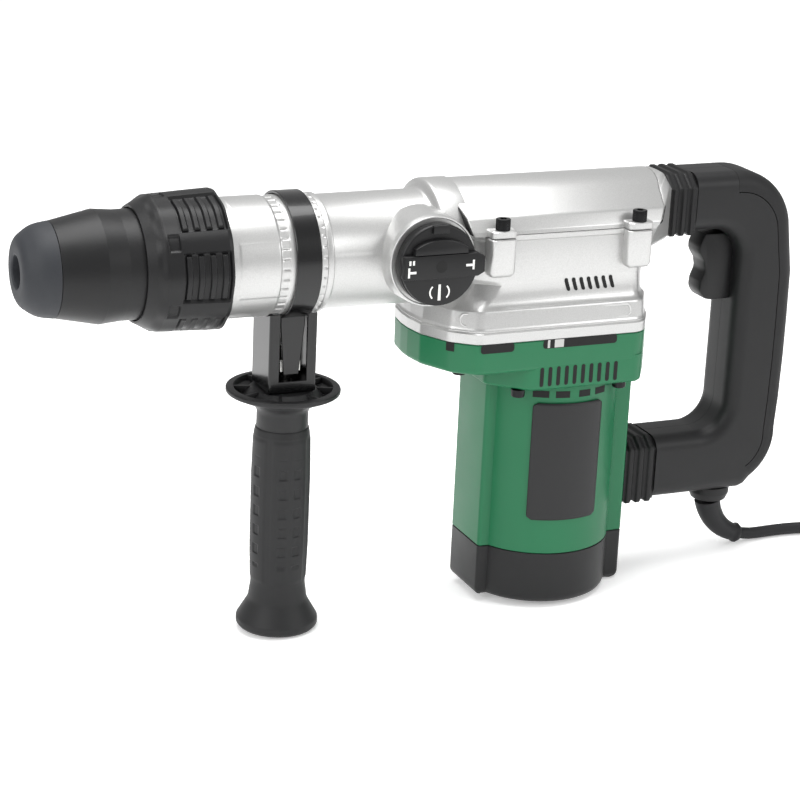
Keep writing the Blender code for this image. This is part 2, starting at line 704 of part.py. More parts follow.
def impact_bolt():
    """Anvil between the striker and the tool's shank."""
    profile = ((0, -0.2010), (0.0090, -0.2010), (0.0090, -0.2430), (0.0126, -0.2450), (0.0126, -0.2580))
    profile += ((0.0088, -0.2590), (0.0088, -0.2735), (0, -0.2735))
    return turned("impact_bolt", profile, STEEL, ring=False, steps=24)


def cross_shaft():
    """Upright shaft with its gear and the bevel pinion that drives the hammer tube."""
    place = (CROSS_SHAFT_X, 0, 0.1865)
    gear = extruded("cross_shaft", gear_outline(17, CROSS_GEAR_R - GAP, 0.0108), 0.007, STEEL, place)
    profile = ((0, 0.1944), (0.0052, 0.1944), (0.0084, 0.1900), (0, 0.1900))
    join(gear, turned("bevel_pinion", profile, STEEL, (CROSS_SHAFT_X, 0, 0), ALONG_Z, ring=False, steps=20))
    foot_place = (CROSS_SHAFT_X, 0, 0)
    return join(gear, rod("cross_shaft_foot", 0.0045, 0.1794, 0.1840, STEEL, foot_place, ALONG_Z, steps=16))


def ring_gear():
    """Bevel gear fixed on the rear of the hammer tube."""
    profile = ((0.0268, -0.0640), (0.0268, -0.0670), (0.0255, -0.0700), (HOLDER_R + GAP, -0.0700))
    profile += ((HOLDER_R + GAP, -0.0640),)
    return turned("ring_gear", profile, STEEL, steps=30)


# Side handle


def clamp_band():
    """Steel band round the barrel whose two ends go down into the bracket."""
    x = (SIDE_X - BAND_HALF_WIDTH, SIDE_X + BAND_HALF_WIDTH)
    inner = BARREL_R + GAP
    outer = inner + BAND_THICKNESS
    band = tube("clamp_band", inner, outer, x[0], x[1], GLOSS, steps=40)
    cut(band, block("band_gap", (x[0] - 0.01, x[1] + 0.01), (-0.0104, 0.0104), (0.180, 0.191), GLOSS))
    for side in (-1, 1):
        y = sorted((side * 0.0104, side * 0.0120))
        join(band, block(f"band_end_{side + 1}", x, y, (0.1520, 0.1888), GLOSS))
    return band


def handle_bracket():
    """Folded steel cradle between the barrel and the side handle, with a window in its two broad faces."""
    x = (SIDE_X - BRACKET_HALF, SIDE_X + BRACKET_HALF)
    y = (-BRACKET_HALF, BRACKET_HALF)
    wall = 0.0021
    bracket = block("handle_bracket", x, y, (BRACKET_Z, 0.1960), GLOSS, 0.0012)
    inside = (x[0] + wall, x[1] - wall)
    room_y = (y[0] + wall, y[1] - wall)
    cut(bracket, block("bracket_room", inside, room_y, (BRACKET_Z + 0.004, 0.210), GLOSS))
    window_x = (SIDE_X - 0.0085, SIDE_X + 0.0085)
    cut(bracket, block("bracket_window", window_x, (-0.030, 0.030), (0.1500, 0.2000), GLOSS))
    cut(bracket, rod("barrel_seat", BARREL_R + GAP, -0.200, -0.140, GLOSS, steps=40))
    return cut(bracket, rod("bracket_hole", 0.0045, 0.130, 0.150, GLOSS, (SIDE_X, 0, 0), ALONG_Z, steps=16))


def clamp_bolt():
    """Threaded bolt with a cross head that draws the band's ends down."""
    bolt = rod("clamp_bolt", 0.0040, 0.1080, 0.1580, STEEL, (SIDE_X, 0, 0), ALONG_Z, steps=16)
    head_x = (SIDE_X - 0.006, SIDE_X + 0.006)
    return join(bolt, block("clamp_bolt_head", head_x, (-0.0100, 0.0100), (0.155, 0.162), STEEL))


def side_handle_core():
    """Moulded core: the flange with a recess round the bracket, the neck, and the tube in the grip."""
    profile = ((0.0320, 0.1435), (FLANGE_R, 0.1425), (FLANGE_R, 0.1400), (0.0220, 0.1345), (0.0152, 0.1310))
    profile += ((0.0152, GRIP_TOP_Z + GAP), (0.0085, GRIP_TOP_Z + GAP), (0.0085, 0.0250), (0.0046, 0.0250))
    profile += ((0.0046, BRACKET_Z - GAP), (0.0205, BRACKET_Z - GAP), (0.0240, 0.1385), (0.0290, 0.1395))
    return turned("side_handle_core", profile, BLACK, (SIDE_X, 0, 0), ALONG_Z)


def side_grip():
    """Soft grip sleeve that ends in the round foot."""
    profile = ((0, 0.0245), (0.0088, 0.0245), (0.0088, GRIP_TOP_Z), (0.0160, GRIP_TOP_Z))
    profile += ((0.0167, GRIP_TOP_Z - 0.0042),)
    profile += ((0.0173, 0.0900), (0.0173, 0.0450), (0.0166, 0.0200), (0.0190, 0.0065))
    profile += ((FOOT_R, FOOT_BOTTOM_Z + 0.0050), (FOOT_R, FOOT_BOTTOM_Z + 0.0022))
    profile += ((FOOT_FACE_R, FOOT_BOTTOM_Z),)
    profile += ((0, FOOT_BOTTOM_Z),)
    return turned("side_grip", profile, SOFT, (SIDE_X, 0, 0), ALONG_Z, ring=False)


# Rear handle


def handle_back_path(inset):
    """The rear handle's outer edge from the top, round its back, to the underside, moved inward by inset."""
    top = HANDLE_TOP_Z - inset
    back = HANDLE_BACK_X - inset
    path = [(COVER_START_X, top)] + arc((0.1170, 0.2183), 0.0400 - inset, 90, 12, 6)
    path += [(back - 0.0010, 0.1800), (back, 0.1400), (back - 0.0006, 0.1100)]
    path += arc((0.1250, 0.0880), 0.0350 - inset, 6, -58, 6)
    return path


def handle_outline():
    """One closed D: the inset back edge, then both arms and the front of the grip."""
    inset = COVER_THICKNESS + GAP
    bend_r = 0.0180
    bend_x = GRIP_FRONT_X - bend_r
    edge = COVER_START_X - GAP
    path = [(ARM_FRONT_X, HANDLE_TOP_Z), (edge, HANDLE_TOP_Z), (edge, HANDLE_TOP_Z - inset)]
    path += handle_back_path(inset)[1:]
    path += [(0.1415, LOWER_ARM_Z[0] + 0.0030), (0.1365, LOWER_ARM_Z[0])]
    path += [(LOWER_ARM_FRONT_X, LOWER_ARM_Z[0])]
    path += [(LOWER_ARM_FRONT_X, LOWER_ARM_Z[1])] + arc((bend_x, LOWER_ARM_Z[1] + bend_r), bend_r, -90, 0, 5)
    path += arc((bend_x, ARM_UNDER_Z - bend_r), bend_r, 0, 90, 5) + [(ARM_FRONT_X, ARM_UNDER_Z)]
    return path


def handle_half(name, side):
    """One moulded half of the D handle, hollowed for the trigger, the switch and the guide rod."""
    half = extruded(name, handle_outline(), 2 * HANDLE_HALF_WIDTH, BLACK, (0, 0, 0), FACING_Y)
    round_edges(half, 0.006, 2)
    far_side = sorted((side * GAP / 2, -side * 0.030))
    cut(half, block(name + "_far_side", (0.0600, 0.1800), far_side, (0.0400, 0.2800), BLACK))
    room = (-TRIGGER_HALF_WIDTH - 0.0005, TRIGGER_HALF_WIDTH + 0.0005)
    cut(half, block(name + "_trigger_slot", (0.0900, 0.1340), room, (0.1720, 0.2190), BLACK))
    cut(half, block(name + "_switch_room", (0.1330, 0.1450), room, (0.1840, 0.2080), BLACK))
    return cut(half, rod(name + "_guide_bore", 0.0048, 0.0700, 0.1130, BLACK, (0, 0, GUIDE_Z), steps=16))


def handle_rear_cover():
    """Soft cover over the back of the D handle."""
    path = handle_back_path(0.0) + list(reversed(handle_back_path(COVER_THICKNESS)))
    cover = extruded("handle_rear_cover", path, 2 * HANDLE_HALF_WIDTH, SOFT, (0, 0, 0), FACING_Y)
    return round_edges(cover, 0.006, 2)


def trigger():
    """Two-finger trigger that slides into the grip."""
    front = [(0.1085, 0.1762), (0.1035, 0.1780), (0.1005, 0.1830), (0.1000, 0.1880), (0.1020, 0.1935)]
    front += [(0.1025, 0.1990), (0.0985, 0.2050), (0.0975, 0.2090), (0.0990, 0.2150), (0.1005, 0.2186)]
    outline = [*front, (0.1276, 0.2186), (0.1276, 0.1762)]
    key = extruded("trigger", outline, 2 * TRIGGER_HALF_WIDTH, BLACK, (0, 0, 0), FACING_Y)
    return round_edges(key, 0.0015, 1)


def switch_body():
    return block("switch_body", (0.1343, 0.1445), (-0.0080, 0.0080), (0.1850, 0.2070), CARBON)


def bellows(name, x, half_width, z, wall):
    """Folded rubber sleeve between the housing and one arm of the handle."""
    sleeve = block(name, x, (-half_width, half_width), z, SOFT, 0.006)
    outside = (x[0] - 0.01, x[1] + 0.01)
    inside = (z[0] + wall, z[1] - wall)
    return cut(sleeve, block(name + "_room", outside, (-half_width + wall, half_width - wall), inside, SOFT))


def guide_rod():
    """Rod that guides the upper arm as the handle gives."""
    return rod("guide_rod", 0.0039, 0.0480, 0.1050, STEEL, (0, 0, GUIDE_Z), steps=16)


# Mains lead


def cable_gland():
    top = LOWER_ARM_Z[0] - GAP
    return tube("cable_gland", 0.0040, 0.0130, GLAND_Z, top, BLACK, (GLAND_X, 0, 0), ALONG_Z, steps=20)


def strain_relief():
    """Tapered boot that bends from the gland towards the ground behind the tool."""
    count = 9
    start = (GLAND_X, GLAND_Z - 0.0021)
    bend_r = 0.0325
    first = math.radians(-80)
    last = math.radians(-18)
    points = []
    radii = []
    for step in range(count):
        share = step / (count - 1)
        angle = first + (last - first) * share
        x = start[0] + bend_r * (math.sin(angle) - math.sin(first))
        z = start[1] - bend_r * (math.cos(angle) - math.cos(first))
        points.append((x, 0, z))
        radii.append(0.0085 + (0.0052 - 0.0085) * share)
    return wire("strain_relief", points, 1.0, SOFT, radii=radii)


def power_cord():
    points = [over_ground(point) for point in LEAD_ROUTE]
    return wire("power_cord", smooth_route(points, 0.009), CORD_R, SOFT)


def cord_coil():
    """Outer shape of the stored coil."""
    place = over_ground((*COIL_CENTRE, 0.0))
    return tube("cord_coil", COIL_R[0], COIL_R[1], GAP, GAP + COIL_HEIGHT, SOFT, place, (0, -LEAN, 0))


def cord_tail():
    points = [over_ground(point) for point in TAIL_ROUTE]
    return wire("cord_tail", smooth_route(points, 0.009), CORD_R, SOFT)


def mains_plug():
    """Round two-pin plug at the lead's end, lying beside the coil."""
    turn = (0, math.pi / 2 - LEAN * math.cos(PLUG_HEADING), PLUG_HEADING)
    profile = ((0, 0.0420), (0.0165, 0.0420), (0.0175, 0.0400), (0.0175, 0.0220))
    profile += ((0.0085, 0.0120), (0.0065, 0.0), (0, 0.0))
    place = over_ground(PLUG_PLACE)
    plug = turned("mains_plug", profile, SOFT, place, turn, ring=False, steps=20)
    across = (-math.sin(PLUG_HEADING), math.cos(PLUG_HEADING))
    for side in (-1, 1):
        pin_place = (place[0] + side * 0.0095 * across[0], place[1] + side * 0.0095 * across[1], place[2])
        join(plug, rod(f"plug_pin_{side + 1}", 0.0024, 0.0410, 0.0610, STEEL, pin_place, turn, steps=10))
    return plug


def build():
    nose_cap_piece = nose_cap()
    sleeve = front_sleeve()
    holder = tool_holder()
    rollers = [locking_roller("locking_roller_top", 1), locking_roller("locking_roller_bottom", -1)]
    spindle = [nose_cap_piece, sleeve, holder, *rollers, ring_gear()]
    carry(pivot("spindle_axis", (HOLDER_END_X, 0, AXIS_Z)), *spindle)
    carry(pivot("lock_slide", (RING_FRONT_X, 0, AXIS_Z)), locking_ring())
    lock_spring()
    barrel_tube()
    front_bearing()
    gear_housing()
    gear_cover()
    for index, (x, side) in enumerate((x, side) for x in BOLT_XS for side in (-1, 1)):
        housing_bolt(f"housing_bolt_{index + 1}", x, side)
    selector_axis = pivot("selector_axis", (SELECTOR_X, SELECTOR_FACE_Y, SELECTOR_Z))
    carry(selector_axis, selector_knob(), selector_shaft())
    motor_housing()
    motor_end_cap()
    label_plate()
    screws = ((-0.070, -0.028, MOTOR_BOX_Z), (-0.070, 0.028, MOTOR_BOX_Z))
    screws += ((0.0300, -0.0400, MOTOR_COLLAR_Z), (0.0300, 0.0400, MOTOR_COLLAR_Z))
    for index, (x, y, top) in enumerate(screws):
        motor_screw(f"motor_screw_{index + 1}", x, y, top - GAP)
    stator()
    lower_bearing()
    upper_bearing()
    carbon_brush("carbon_brush_front", -1)
    carbon_brush("carbon_brush_rear", 1)
    carry(pivot("motor_axis", (0, 0, 0)), armature(), commutator(), cooling_fan())
    carry(pivot("crank_axis", (CRANK_X, 0, 0.187)), drive_gear())
    carry(pivot("cross_shaft_axis", (CROSS_SHAFT_X, 0, 0.187)), cross_shaft())
    slide = pivot("piston_slide", (PISTON_X, 0, AXIS_Z))
    carry(slide, piston(), piston_pin())
    swing = pivot("rod_axis", (PISTON_X, 0, AXIS_Z))
    carry(swing, connecting_rod(), crank_pin())
    carry(slide, swing)
    carry(pivot("striker_slide", (-0.165, 0, AXIS_Z)), striker())
    carry(pivot("impact_bolt_slide", (-0.240, 0, AXIS_Z)), impact_bolt())
    side_swing = pivot("side_handle_swing", (SIDE_X, 0, AXIS_Z))
    carry(side_swing, clamp_band(), handle_bracket(), clamp_bolt())
    grip_turn = pivot("side_grip_axis", (SIDE_X, 0, 0.070))
    carry(grip_turn, side_handle_core(), side_grip())
    carry(side_swing, grip_turn)
    handle_slide = pivot("handle_slide", (ARM_FRONT_X, 0, GUIDE_Z))
    halves = [handle_half("handle_half_left", -1), handle_half("handle_half_right", 1)]
    carry(handle_slide, *halves, handle_rear_cover(), switch_body(), cable_gland(), strain_relief())
    trigger_slide = pivot("trigger_slide", (GRIP_FRONT_X, 0, 0.198))
    carry(trigger_slide, trigger())
    carry(handle_slide, trigger_slide)
    upper_x = (REAR_WALL_X + GAP, ARM_FRONT_X - GAP)
    bellows("upper_bellows", upper_x, 0.0195, (ARM_UNDER_Z, HANDLE_TOP_Z), 0.004)
    lower_x = (MOTOR_BLOCK_X[1] + GAP, LOWER_ARM_FRONT_X - GAP)
    bellows("lower_bellows", lower_x, 0.0190, LOWER_ARM_Z, 0.004)
    guide_rod()
    power_cord()
    cord_coil()
    cord_tail()
    mains_plug()
    datum = pivot("cap_bottom_datum", (0, 0, -CAP_BOTTOM_Z))
    for obj in [*PARTS.objects, *CUTTERS.objects]:
        if obj.parent is None and obj is not datum:
            obj.parent = datum


build()
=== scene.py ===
import math

import bmesh
import bpy
import numpy as np
from mathutils import Matrix


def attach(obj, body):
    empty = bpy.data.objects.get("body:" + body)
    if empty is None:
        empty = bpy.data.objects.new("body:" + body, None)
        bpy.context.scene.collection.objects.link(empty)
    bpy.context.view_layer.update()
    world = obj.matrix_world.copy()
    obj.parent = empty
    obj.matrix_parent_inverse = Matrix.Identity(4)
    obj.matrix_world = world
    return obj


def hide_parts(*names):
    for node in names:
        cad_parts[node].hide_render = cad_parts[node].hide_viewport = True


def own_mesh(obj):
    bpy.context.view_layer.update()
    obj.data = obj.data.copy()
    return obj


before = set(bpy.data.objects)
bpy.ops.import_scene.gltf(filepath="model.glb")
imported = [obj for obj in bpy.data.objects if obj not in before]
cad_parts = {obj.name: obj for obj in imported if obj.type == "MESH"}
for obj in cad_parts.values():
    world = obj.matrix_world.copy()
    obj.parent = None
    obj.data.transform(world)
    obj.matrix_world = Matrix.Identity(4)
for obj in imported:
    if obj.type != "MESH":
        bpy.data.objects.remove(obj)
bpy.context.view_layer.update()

# View. A camera low on the selector's side, in front of the tool, and a pale studio sweep with wide soft lights.
# The tool stands on the side handle's foot and the motor cap's rear edge, so the floor rises a little to the back.
camera_lens = bpy.data.cameras.new("view")
camera_lens.lens = 109.15
camera_lens.sensor_width = 36.0
camera_lens.clip_end = 50.0
camera = bpy.data.objects.new("view", camera_lens)
camera.matrix_world = Matrix(
    (
        (0.91795, 0.0869, -0.38706, -0.6502), (-0.39431, 0.30683, -0.86624, -1.2443),
        (0.04348, 0.94779, 0.31592, 0.5777), (0.0, 0.0, 0.0, 1.0),
    )
)
bpy.context.scene.collection.objects.link(camera)
bpy.context.scene.camera = camera

floor_slope = 0.04848
foot_edge = (-0.1459, -0.0094)


def floor_height(x):
    """The floor under x: a plane through the foot's rear edge that rises by floor_slope."""
    return foot_edge[1] + (x - foot_edge[0]) * floor_slope


def linear(code):
    """Linear RGB of an sRGB hex colour."""
    value = np.array([int(code[i : i + 2], 16) for i in (0, 2, 4)]) / 255
    value = np.where(value <= 0.04045, value / 12.92, ((value + 0.055) / 1.055) ** 2.4)
    return (*value, 1.0)


def new_finish(name, code, roughness, metallic=0.0, **sockets):
    """A Principled material whose uniform values are set on its own sockets."""
    mat = bpy.data.materials.new(name)
    mat.use_nodes = True
    shader = mat.node_tree.nodes["Principled BSDF"]
    shader.inputs["Base Color"].default_value = linear(code)
    shader.inputs["Roughness"].default_value = roughness
    shader.inputs["Metallic"].default_value = metallic
    for socket, value in sockets.items():
        shader.inputs[socket.replace("_", " ")].default_value = value
    mat.diffuse_color = linear(code)
    return mat, mat.node_tree, shader


def node(tree, kind, links=(), **settings):
    """Adds one node with its settings, then links (input, output socket) pairs into it."""
    made = tree.nodes.new(kind)
    for key, value in settings.items():
        if key in made.inputs:
            made.inputs[key].default_value = value
        else:
            setattr(made, key, value)
    for socket, source in links:
        tree.links.new(source, made.inputs[socket])
    return made


sweep_paper, _, sweep = new_finish("white_studio_sweep", "fafafa", 0.95)
sweep.inputs["Emission Color"].default_value = (1.0, 1.0, 1.0, 1.0)
sweep.inputs["Emission Strength"].default_value = 0.3
floor_x = np.array([-7.0, 7.0, 7.0, -7.0])
floor_y = np.array([-7.0, -7.0, 9.0, 9.0])
floor_mesh = bpy.data.meshes.new("studio_floor")
floor_mesh.from_pydata(np.c_[floor_x, floor_y, floor_height(floor_x)].tolist(), [], [(0, 1, 2, 3)])
floor_mesh.materials.append(sweep_paper)
studio_floor = bpy.data.objects.new("studio_floor", floor_mesh)
bpy.context.scene.collection.objects.link(studio_floor)

studio = bpy.data.worlds.new("studio")
studio.use_nodes = True
studio.node_tree.nodes["Background"].inputs["Color"].default_value = (1.0, 1.0, 1.0, 1.0)
studio.node_tree.nodes["Background"].inputs["Strength"].default_value = 0.55
bpy.context.scene.world = studio
bpy.context.scene.view_settings.view_transform = "Standard"


def softbox(name, place, target, size, power):
    """A square area light at place that faces target."""
    data = bpy.data.lights.new(name, "AREA")
    data.energy = power
    data.size = size
    lamp = bpy.data.objects.new(name, data)
    back = np.array(place, float) - np.array(target, float)
    back /= np.linalg.norm(back)
    side = np.cross((0.0, 0.0, 1.0), back)
    side /= np.linalg.norm(side)
    columns = np.c_[side, np.cross(back, side), back, place]
    lamp.matrix_world = Matrix([*columns.tolist(), [0.0, 0.0, 0.0, 1.0]])
    bpy.context.scene.collection.objects.link(lamp)


softbox("overhead_box", (-0.2, 0.1, 1.7), (-0.05, 0.0, 0.1), 1.3, 34.0)
softbox("left_box", (-1.7, -0.7, 1.0), (-0.1, 0.0, 0.12), 0.9, 14.0)
softbox("right_box", (1.3, -1.5, 1.1), (0.0, 0.0, 0.12), 0.8, 12.0)


# Mains lead. Round black rubber flex, 7.5 mm thick and three metres long, which comes out of the bend-relief boot,
# runs over the floor to a wound coil stored beside the tool, and ends in a moulded plug.
axis_z = 0.2185
lead_radius = 0.00375
upright = (0.0, 0.0, 1.0)


def add_piece(name, points, faces, mat, body, replaces=(), crease=40):
    """A surface from arrays of points and faces: welded, facing outwards, and smooth except over the crease angle."""
    mesh = bpy.data.meshes.new(name)
    mesh.from_pydata(np.asarray(points, float).tolist(), [], [list(face) for face in faces])
    shape = bmesh.new()
    shape.from_mesh(mesh)
    bmesh.ops.remove_doubles(shape, verts=shape.verts, dist=0.000002)
    bmesh.ops.recalc_face_normals(shape, faces=shape.faces)
    shape.to_mesh(mesh)
    shape.free()
    mesh.polygons.foreach_set("use_smooth", np.ones(len(mesh.polygons), bool))
    mesh.set_sharp_from_angle(angle=math.radians(crease))
    mesh.materials.append(mat)
    piece = bpy.data.objects.new(name, mesh)
    bpy.context.scene.collection.objects.link(piece)
    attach(piece, body)
    if replaces:
        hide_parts(*replaces)
    return piece


def grid_faces(rows, columns, wrap_rows=False, wrap_columns=True):
    """Quads between the neighbours of a rows by columns grid of points."""
    row = np.arange(rows if wrap_rows else rows - 1)[:, None]
    column = np.arange(columns if wrap_columns else columns - 1)[None, :]
    a = row * columns + column
    b = row * columns + (column + 1) % columns
    c = (row + 1) % rows * columns + (column + 1) % columns
    d = (row + 1) % rows * columns + column
    return np.stack([a, b, c, d], -1).reshape(-1, 4)


def capped(rings):
    """A closed solid through rings of equal point counts, with flat ends: (points, faces)."""
    rings = np.asarray(rings)
    count = rings.shape[1]
    last = (len(rings) - 1) * count
    faces = grid_faces(len(rings), count).tolist()
    faces += [list(range(count))[::-1], [last + index for index in range(count)]]
    return rings.reshape(-1, 3), faces


def round_tube(path, radii, sides=16):
    """A circle of radius radii[i] round each path point, square to the path, with closed ends: (points, faces)."""
    path = np.asarray(path, float)
    radii = np.broadcast_to(radii, len(path))
    along = np.gradient(path, axis=0)
    along /= np.linalg.norm(along, axis=1)[:, None]
    side = np.cross(along, (0.0013, 0.0021, 1.0))
    side /= np.linalg.norm(side, axis=1)[:, None]
    up = np.cross(side, along)
    turn = np.linspace(0, 2 * np.pi, sides, endpoint=False)[None, :, None]
    ring = np.cos(turn) * side[:, None] + np.sin(turn) * up[:, None]
    return capped(path[:, None] + radii[:, None, None] * ring)


def spline_route(knots, spacing):
    """A Catmull-Rom curve through the knots, sampled about one spacing apart."""
    knots = np.asarray(knots, float)
    ends = np.vstack([2 * knots[0] - knots[1], knots, 2 * knots[-1] - knots[-2]])
    spans = []
    for b, c, d, e in zip(ends, ends[1:], ends[2:], ends[3:]):
        t = np.linspace(0, 1, max(2, round(np.linalg.norm(d - c) / spacing)), endpoint=False)[:, None]
        square, cube = 2 * b - 5 * c + 4 * d - e, 3 * c - b - 3 * d + e
        spans.append(0.5 * (2 * c + (d - b) * t + square * t**2 + cube * t**3))
    return np.vstack([*spans, knots[-1:]])


lead_knots = np.array(
    (
        (0.1472, 0.0, 0.007), (0.157, 0.0, 0.0047), (0.169, 0.0, 0.0041), (0.18, -0.001, 0.0041),
        (0.195, -0.0045, 0.0041), (0.213, -0.013, 0.0041), (0.238, -0.028, 0.0041),
        (0.265, -0.04, 0.0041), (0.285, -0.0448, 0.0041),
    )
)
tail_knots = np.array(
    (
        (0.3633, 0.024, 0.0047), (0.3632, 0.034, 0.0088), (0.3628, 0.043, 0.014),
        (0.3624, 0.0535, 0.0178),
    )
)
# The coil's turns lie in three columns and four rows: each knot is a turn count, a radius and a height.
coil_centre = (0.305, 0.012)
coil_plan = np.array(
    (
        (0.0, 0.0584, 0.0041), (0.18, 0.0485, 0.0041), (1.0, 0.0485, 0.0041), (1.2, 0.041, 0.0041),
        (2.0, 0.041, 0.0041), (2.2, 0.0335, 0.0041), (3.0, 0.0335, 0.0046), (3.2, 0.0335, 0.0116),
        (4.0, 0.0335, 0.0116), (4.2, 0.041, 0.0116), (5.0, 0.041, 0.0116), (5.2, 0.0485, 0.0116),
        (6.0, 0.0485, 0.0121), (6.2, 0.0485, 0.0191), (7.0, 0.0485, 0.0191), (7.2, 0.041, 0.0191),
        (8.0, 0.041, 0.0191), (8.2, 0.0335, 0.0191), (8.9, 0.0335, 0.0196), (9.1, 0.037, 0.0266),
        (9.4, 0.041, 0.0266), (9.7, 0.0485, 0.0266), (9.95, 0.0575, 0.0235), (10.12, 0.0584, 0.013),
        (10.25, 0.0582, 0.005),
    )
)
turns = np.arange(0.0, 10.2501, 0.025)
coil_r = np.interp(turns, coil_plan[:, 0], coil_plan[:, 1])
coil_h = np.interp(turns, coil_plan[:, 0], coil_plan[:, 2])
soften = np.ones(7) / 7
coil_r[3:-3] = np.convolve(coil_r, soften, "valid")
coil_h[3:-3] = np.convolve(coil_h, soften, "valid")
coil_angle = 2 * np.pi * turns - np.pi / 2
coil_route = np.c_[
    coil_centre[0] + coil_r * np.cos(coil_angle), coil_centre[1] + coil_r * np.sin(coil_angle), coil_h
]
flat_route = np.vstack([spline_route(lead_knots, 0.005), coil_route[1:-1], spline_route(tail_knots, 0.006)])
lead_route = flat_route + np.c_[0 * flat_route[:, 0], 0 * flat_route[:, 0], floor_height(flat_route[:, 0])]

# Vulcanised rubber flex: matt, with a faint drawn grain along it that softens its highlight.
flex_rubber, tree, shader = new_finish("matt_rubber_flex", "1c1c1e", 0.58, Specular_IOR_Level=0.3)
place = node(tree, "ShaderNodeTexCoord")
grit = node(tree, "ShaderNodeTexNoise", [("Vector", place.outputs["Object"])], Scale=900.0, Detail=2.0)
dent = node(tree, "ShaderNodeBump", [("Height", grit.outputs["Fac"])], Strength=0.18, Distance=0.0003)
tree.links.new(dent.outputs["Normal"], shader.inputs["Normal"])

points, faces = round_tube(lead_route, lead_radius, 14)
mains_lead = add_piece("mains_lead", points, faces, flex_rubber, "housing", ("power_cord", "cord_coil", "cord_tail"))


# Plug. Round rubber body moulded on the lead's end and waisted behind a gripping rim. Two bright round pins stand
# out of its flat face.
def turned(profile, sides, origin=(0.0, 0.0, axis_z), axis=(1.0, 0.0, 0.0), shape=None):
    """Turns (along, radius) profile points round an axis; shape(along, turn, radius) may change the radius."""
    profile = np.asarray(profile, float)
    axis = np.asarray(axis, float) / np.linalg.norm(axis)
    first = np.cross(axis, (0.0, 1.0, 0.0) if abs(axis[1]) < 0.9 else (1.0, 0.0, 0.0))
    first /= np.linalg.norm(first)
    second = np.cross(axis, first)
    turn = np.linspace(0, 2 * np.pi, sides, endpoint=False)[None, :]
    along = np.repeat(profile[:, :1], sides, axis=1)
    radius = np.repeat(profile[:, 1:2], sides, axis=1)
    if shape:
        radius = shape(along, turn + 0 * along, radius)
    points = along[..., None] * axis
    points = points + (radius * np.cos(turn))[..., None] * first + (radius * np.sin(turn))[..., None] * second
    points = (points + np.asarray(origin, float)).reshape(-1, 3)
    closed = profile[0, 1] > 1e-6 and profile[-1, 1] > 1e-6
    return points, grid_faces(len(profile), sides, wrap_rows=closed).tolist()


def softened(corners, radii, steps=5, closed=False):
    """A polyline whose corners are replaced by arcs of the given radii."""
    corners = np.asarray(corners, float)
    radii = np.broadcast_to(radii, len(corners))
    made = []
    for index, (corner, radius) in enumerate(zip(corners, radii)):
        ends = not closed and index in (0, len(corners) - 1)
        if ends or radius <= 0:
            made.append(corner[None])
            continue
        before = corners[index - 1] - corner
        after = corners[(index + 1) % len(corners)] - corner
        lengths = np.linalg.norm(before), np.linalg.norm(after)
        before, after = before / lengths[0], after / lengths[1]
        half = np.arccos(np.clip(before @ after, -1, 1)) / 2
        if half > 1.54:
            made.append(corner[None])
            continue
        reach = min(radius / np.tan(half), 0.48 * lengths[0], 0.48 * lengths[1])
        bow = reach * np.tan(half)
        middle = corner + (before + after) / np.linalg.norm(before + after) * np.hypot(bow, reach)
        start, end = corner + before * reach - middle, corner + after * reach - middle
        sweep = np.arctan2(start[0] * end[1] - start[1] * end[0], start @ end)
        turn = np.linspace(0, sweep, steps)[:, None]
        across = np.array((-start[1], start[0]))
        made.append(middle + start * np.cos(turn) + across * np.sin(turn))
    return np.vstack(made)


def together(*shapes):
    """Several (points, faces) shapes as one."""
    points, faces, count = [], [], 0
    for more_points, more_faces in shapes:
        points.append(more_points)
        faces += [[index + count for index in face] for face in more_faces]
        count += len(more_points)
    return np.vstack(points), faces


plug_place = np.array((0.3624, 0.052, 0.0179 + floor_height(0.3624)))
plug_heading = math.radians(92)
plug_axis = np.array((math.cos(plug_heading), math.sin(plug_heading), floor_slope * math.cos(plug_heading)))
plug_across = np.array((-math.sin(plug_heading), math.cos(plug_heading), 0.0))
plug_profile = softened(
    (
        (0.0, 0.0), (0.0, 0.0062), (0.012, 0.0082), (0.022, 0.0172), (0.03, 0.016), (0.0375, 0.0172),
        (0.042, 0.0172), (0.042, 0.0),
    ),
    (0, 0.002, 0.006, 0.002, 0.006, 0.002, 0.002, 0),
)
pin_profile = softened(((0.041, 0.0), (0.041, 0.0023), (0.0605, 0.0023), (0.0605, 0.0)), (0, 0, 0.0015, 0))
plug_rubber, _, _ = new_finish("moulded_plug_rubber", "1c1c1e", 0.5, Specular_IOR_Level=0.3)
points, faces = turned(plug_profile, 40, plug_place, plug_axis)
plug_body = add_piece("plug_body", points, faces, plug_rubber, "housing", ("mains_plug",))
pin_brass, _, _ = new_finish("nickelled_plug_pin", "c9c6bd", 0.25, 1.0)
pins = [turned(pin_profile, 20, plug_place + side * 0.0095 * plug_across, plug_axis) for side in (-1, 1)]
plug_pins = add_piece("plug_pins", *together(*pins), pin_brass, "housing")


# Bend-relief boot and gland. A tapered rubber boot with a bead at its tip, pressed into the round collar under the
# lower arm of the rear handle.
boot_x, boot_top, boot_bend, boot_start = 0.1235, 0.0374, 0.0325, -80
boot_share = np.linspace(0, 1, 40)
boot_turn = np.radians(boot_start + 67 * boot_share)
boot_path = np.c_[
    boot_x + boot_bend * (np.sin(boot_turn) - math.sin(math.radians(boot_start))),
    0 * boot_share,
    boot_top - boot_bend * (np.cos(boot_turn) - math.cos(math.radians(boot_start))),
]
boot_radii = 0.0083 - 0.0031 * boot_share
boot_radii += 0.0011 * np.exp(-(((boot_share - 0.94) / 0.035) ** 2))
boot_rubber, _, _ = new_finish("moulded_boot_rubber", "1a1a1c", 0.5, Specular_IOR_Level=0.3)
add_piece(
    "bend_relief", *round_tube(boot_path, boot_radii, 32), boot_rubber, "rear_handle", ("strain_relief",)
)
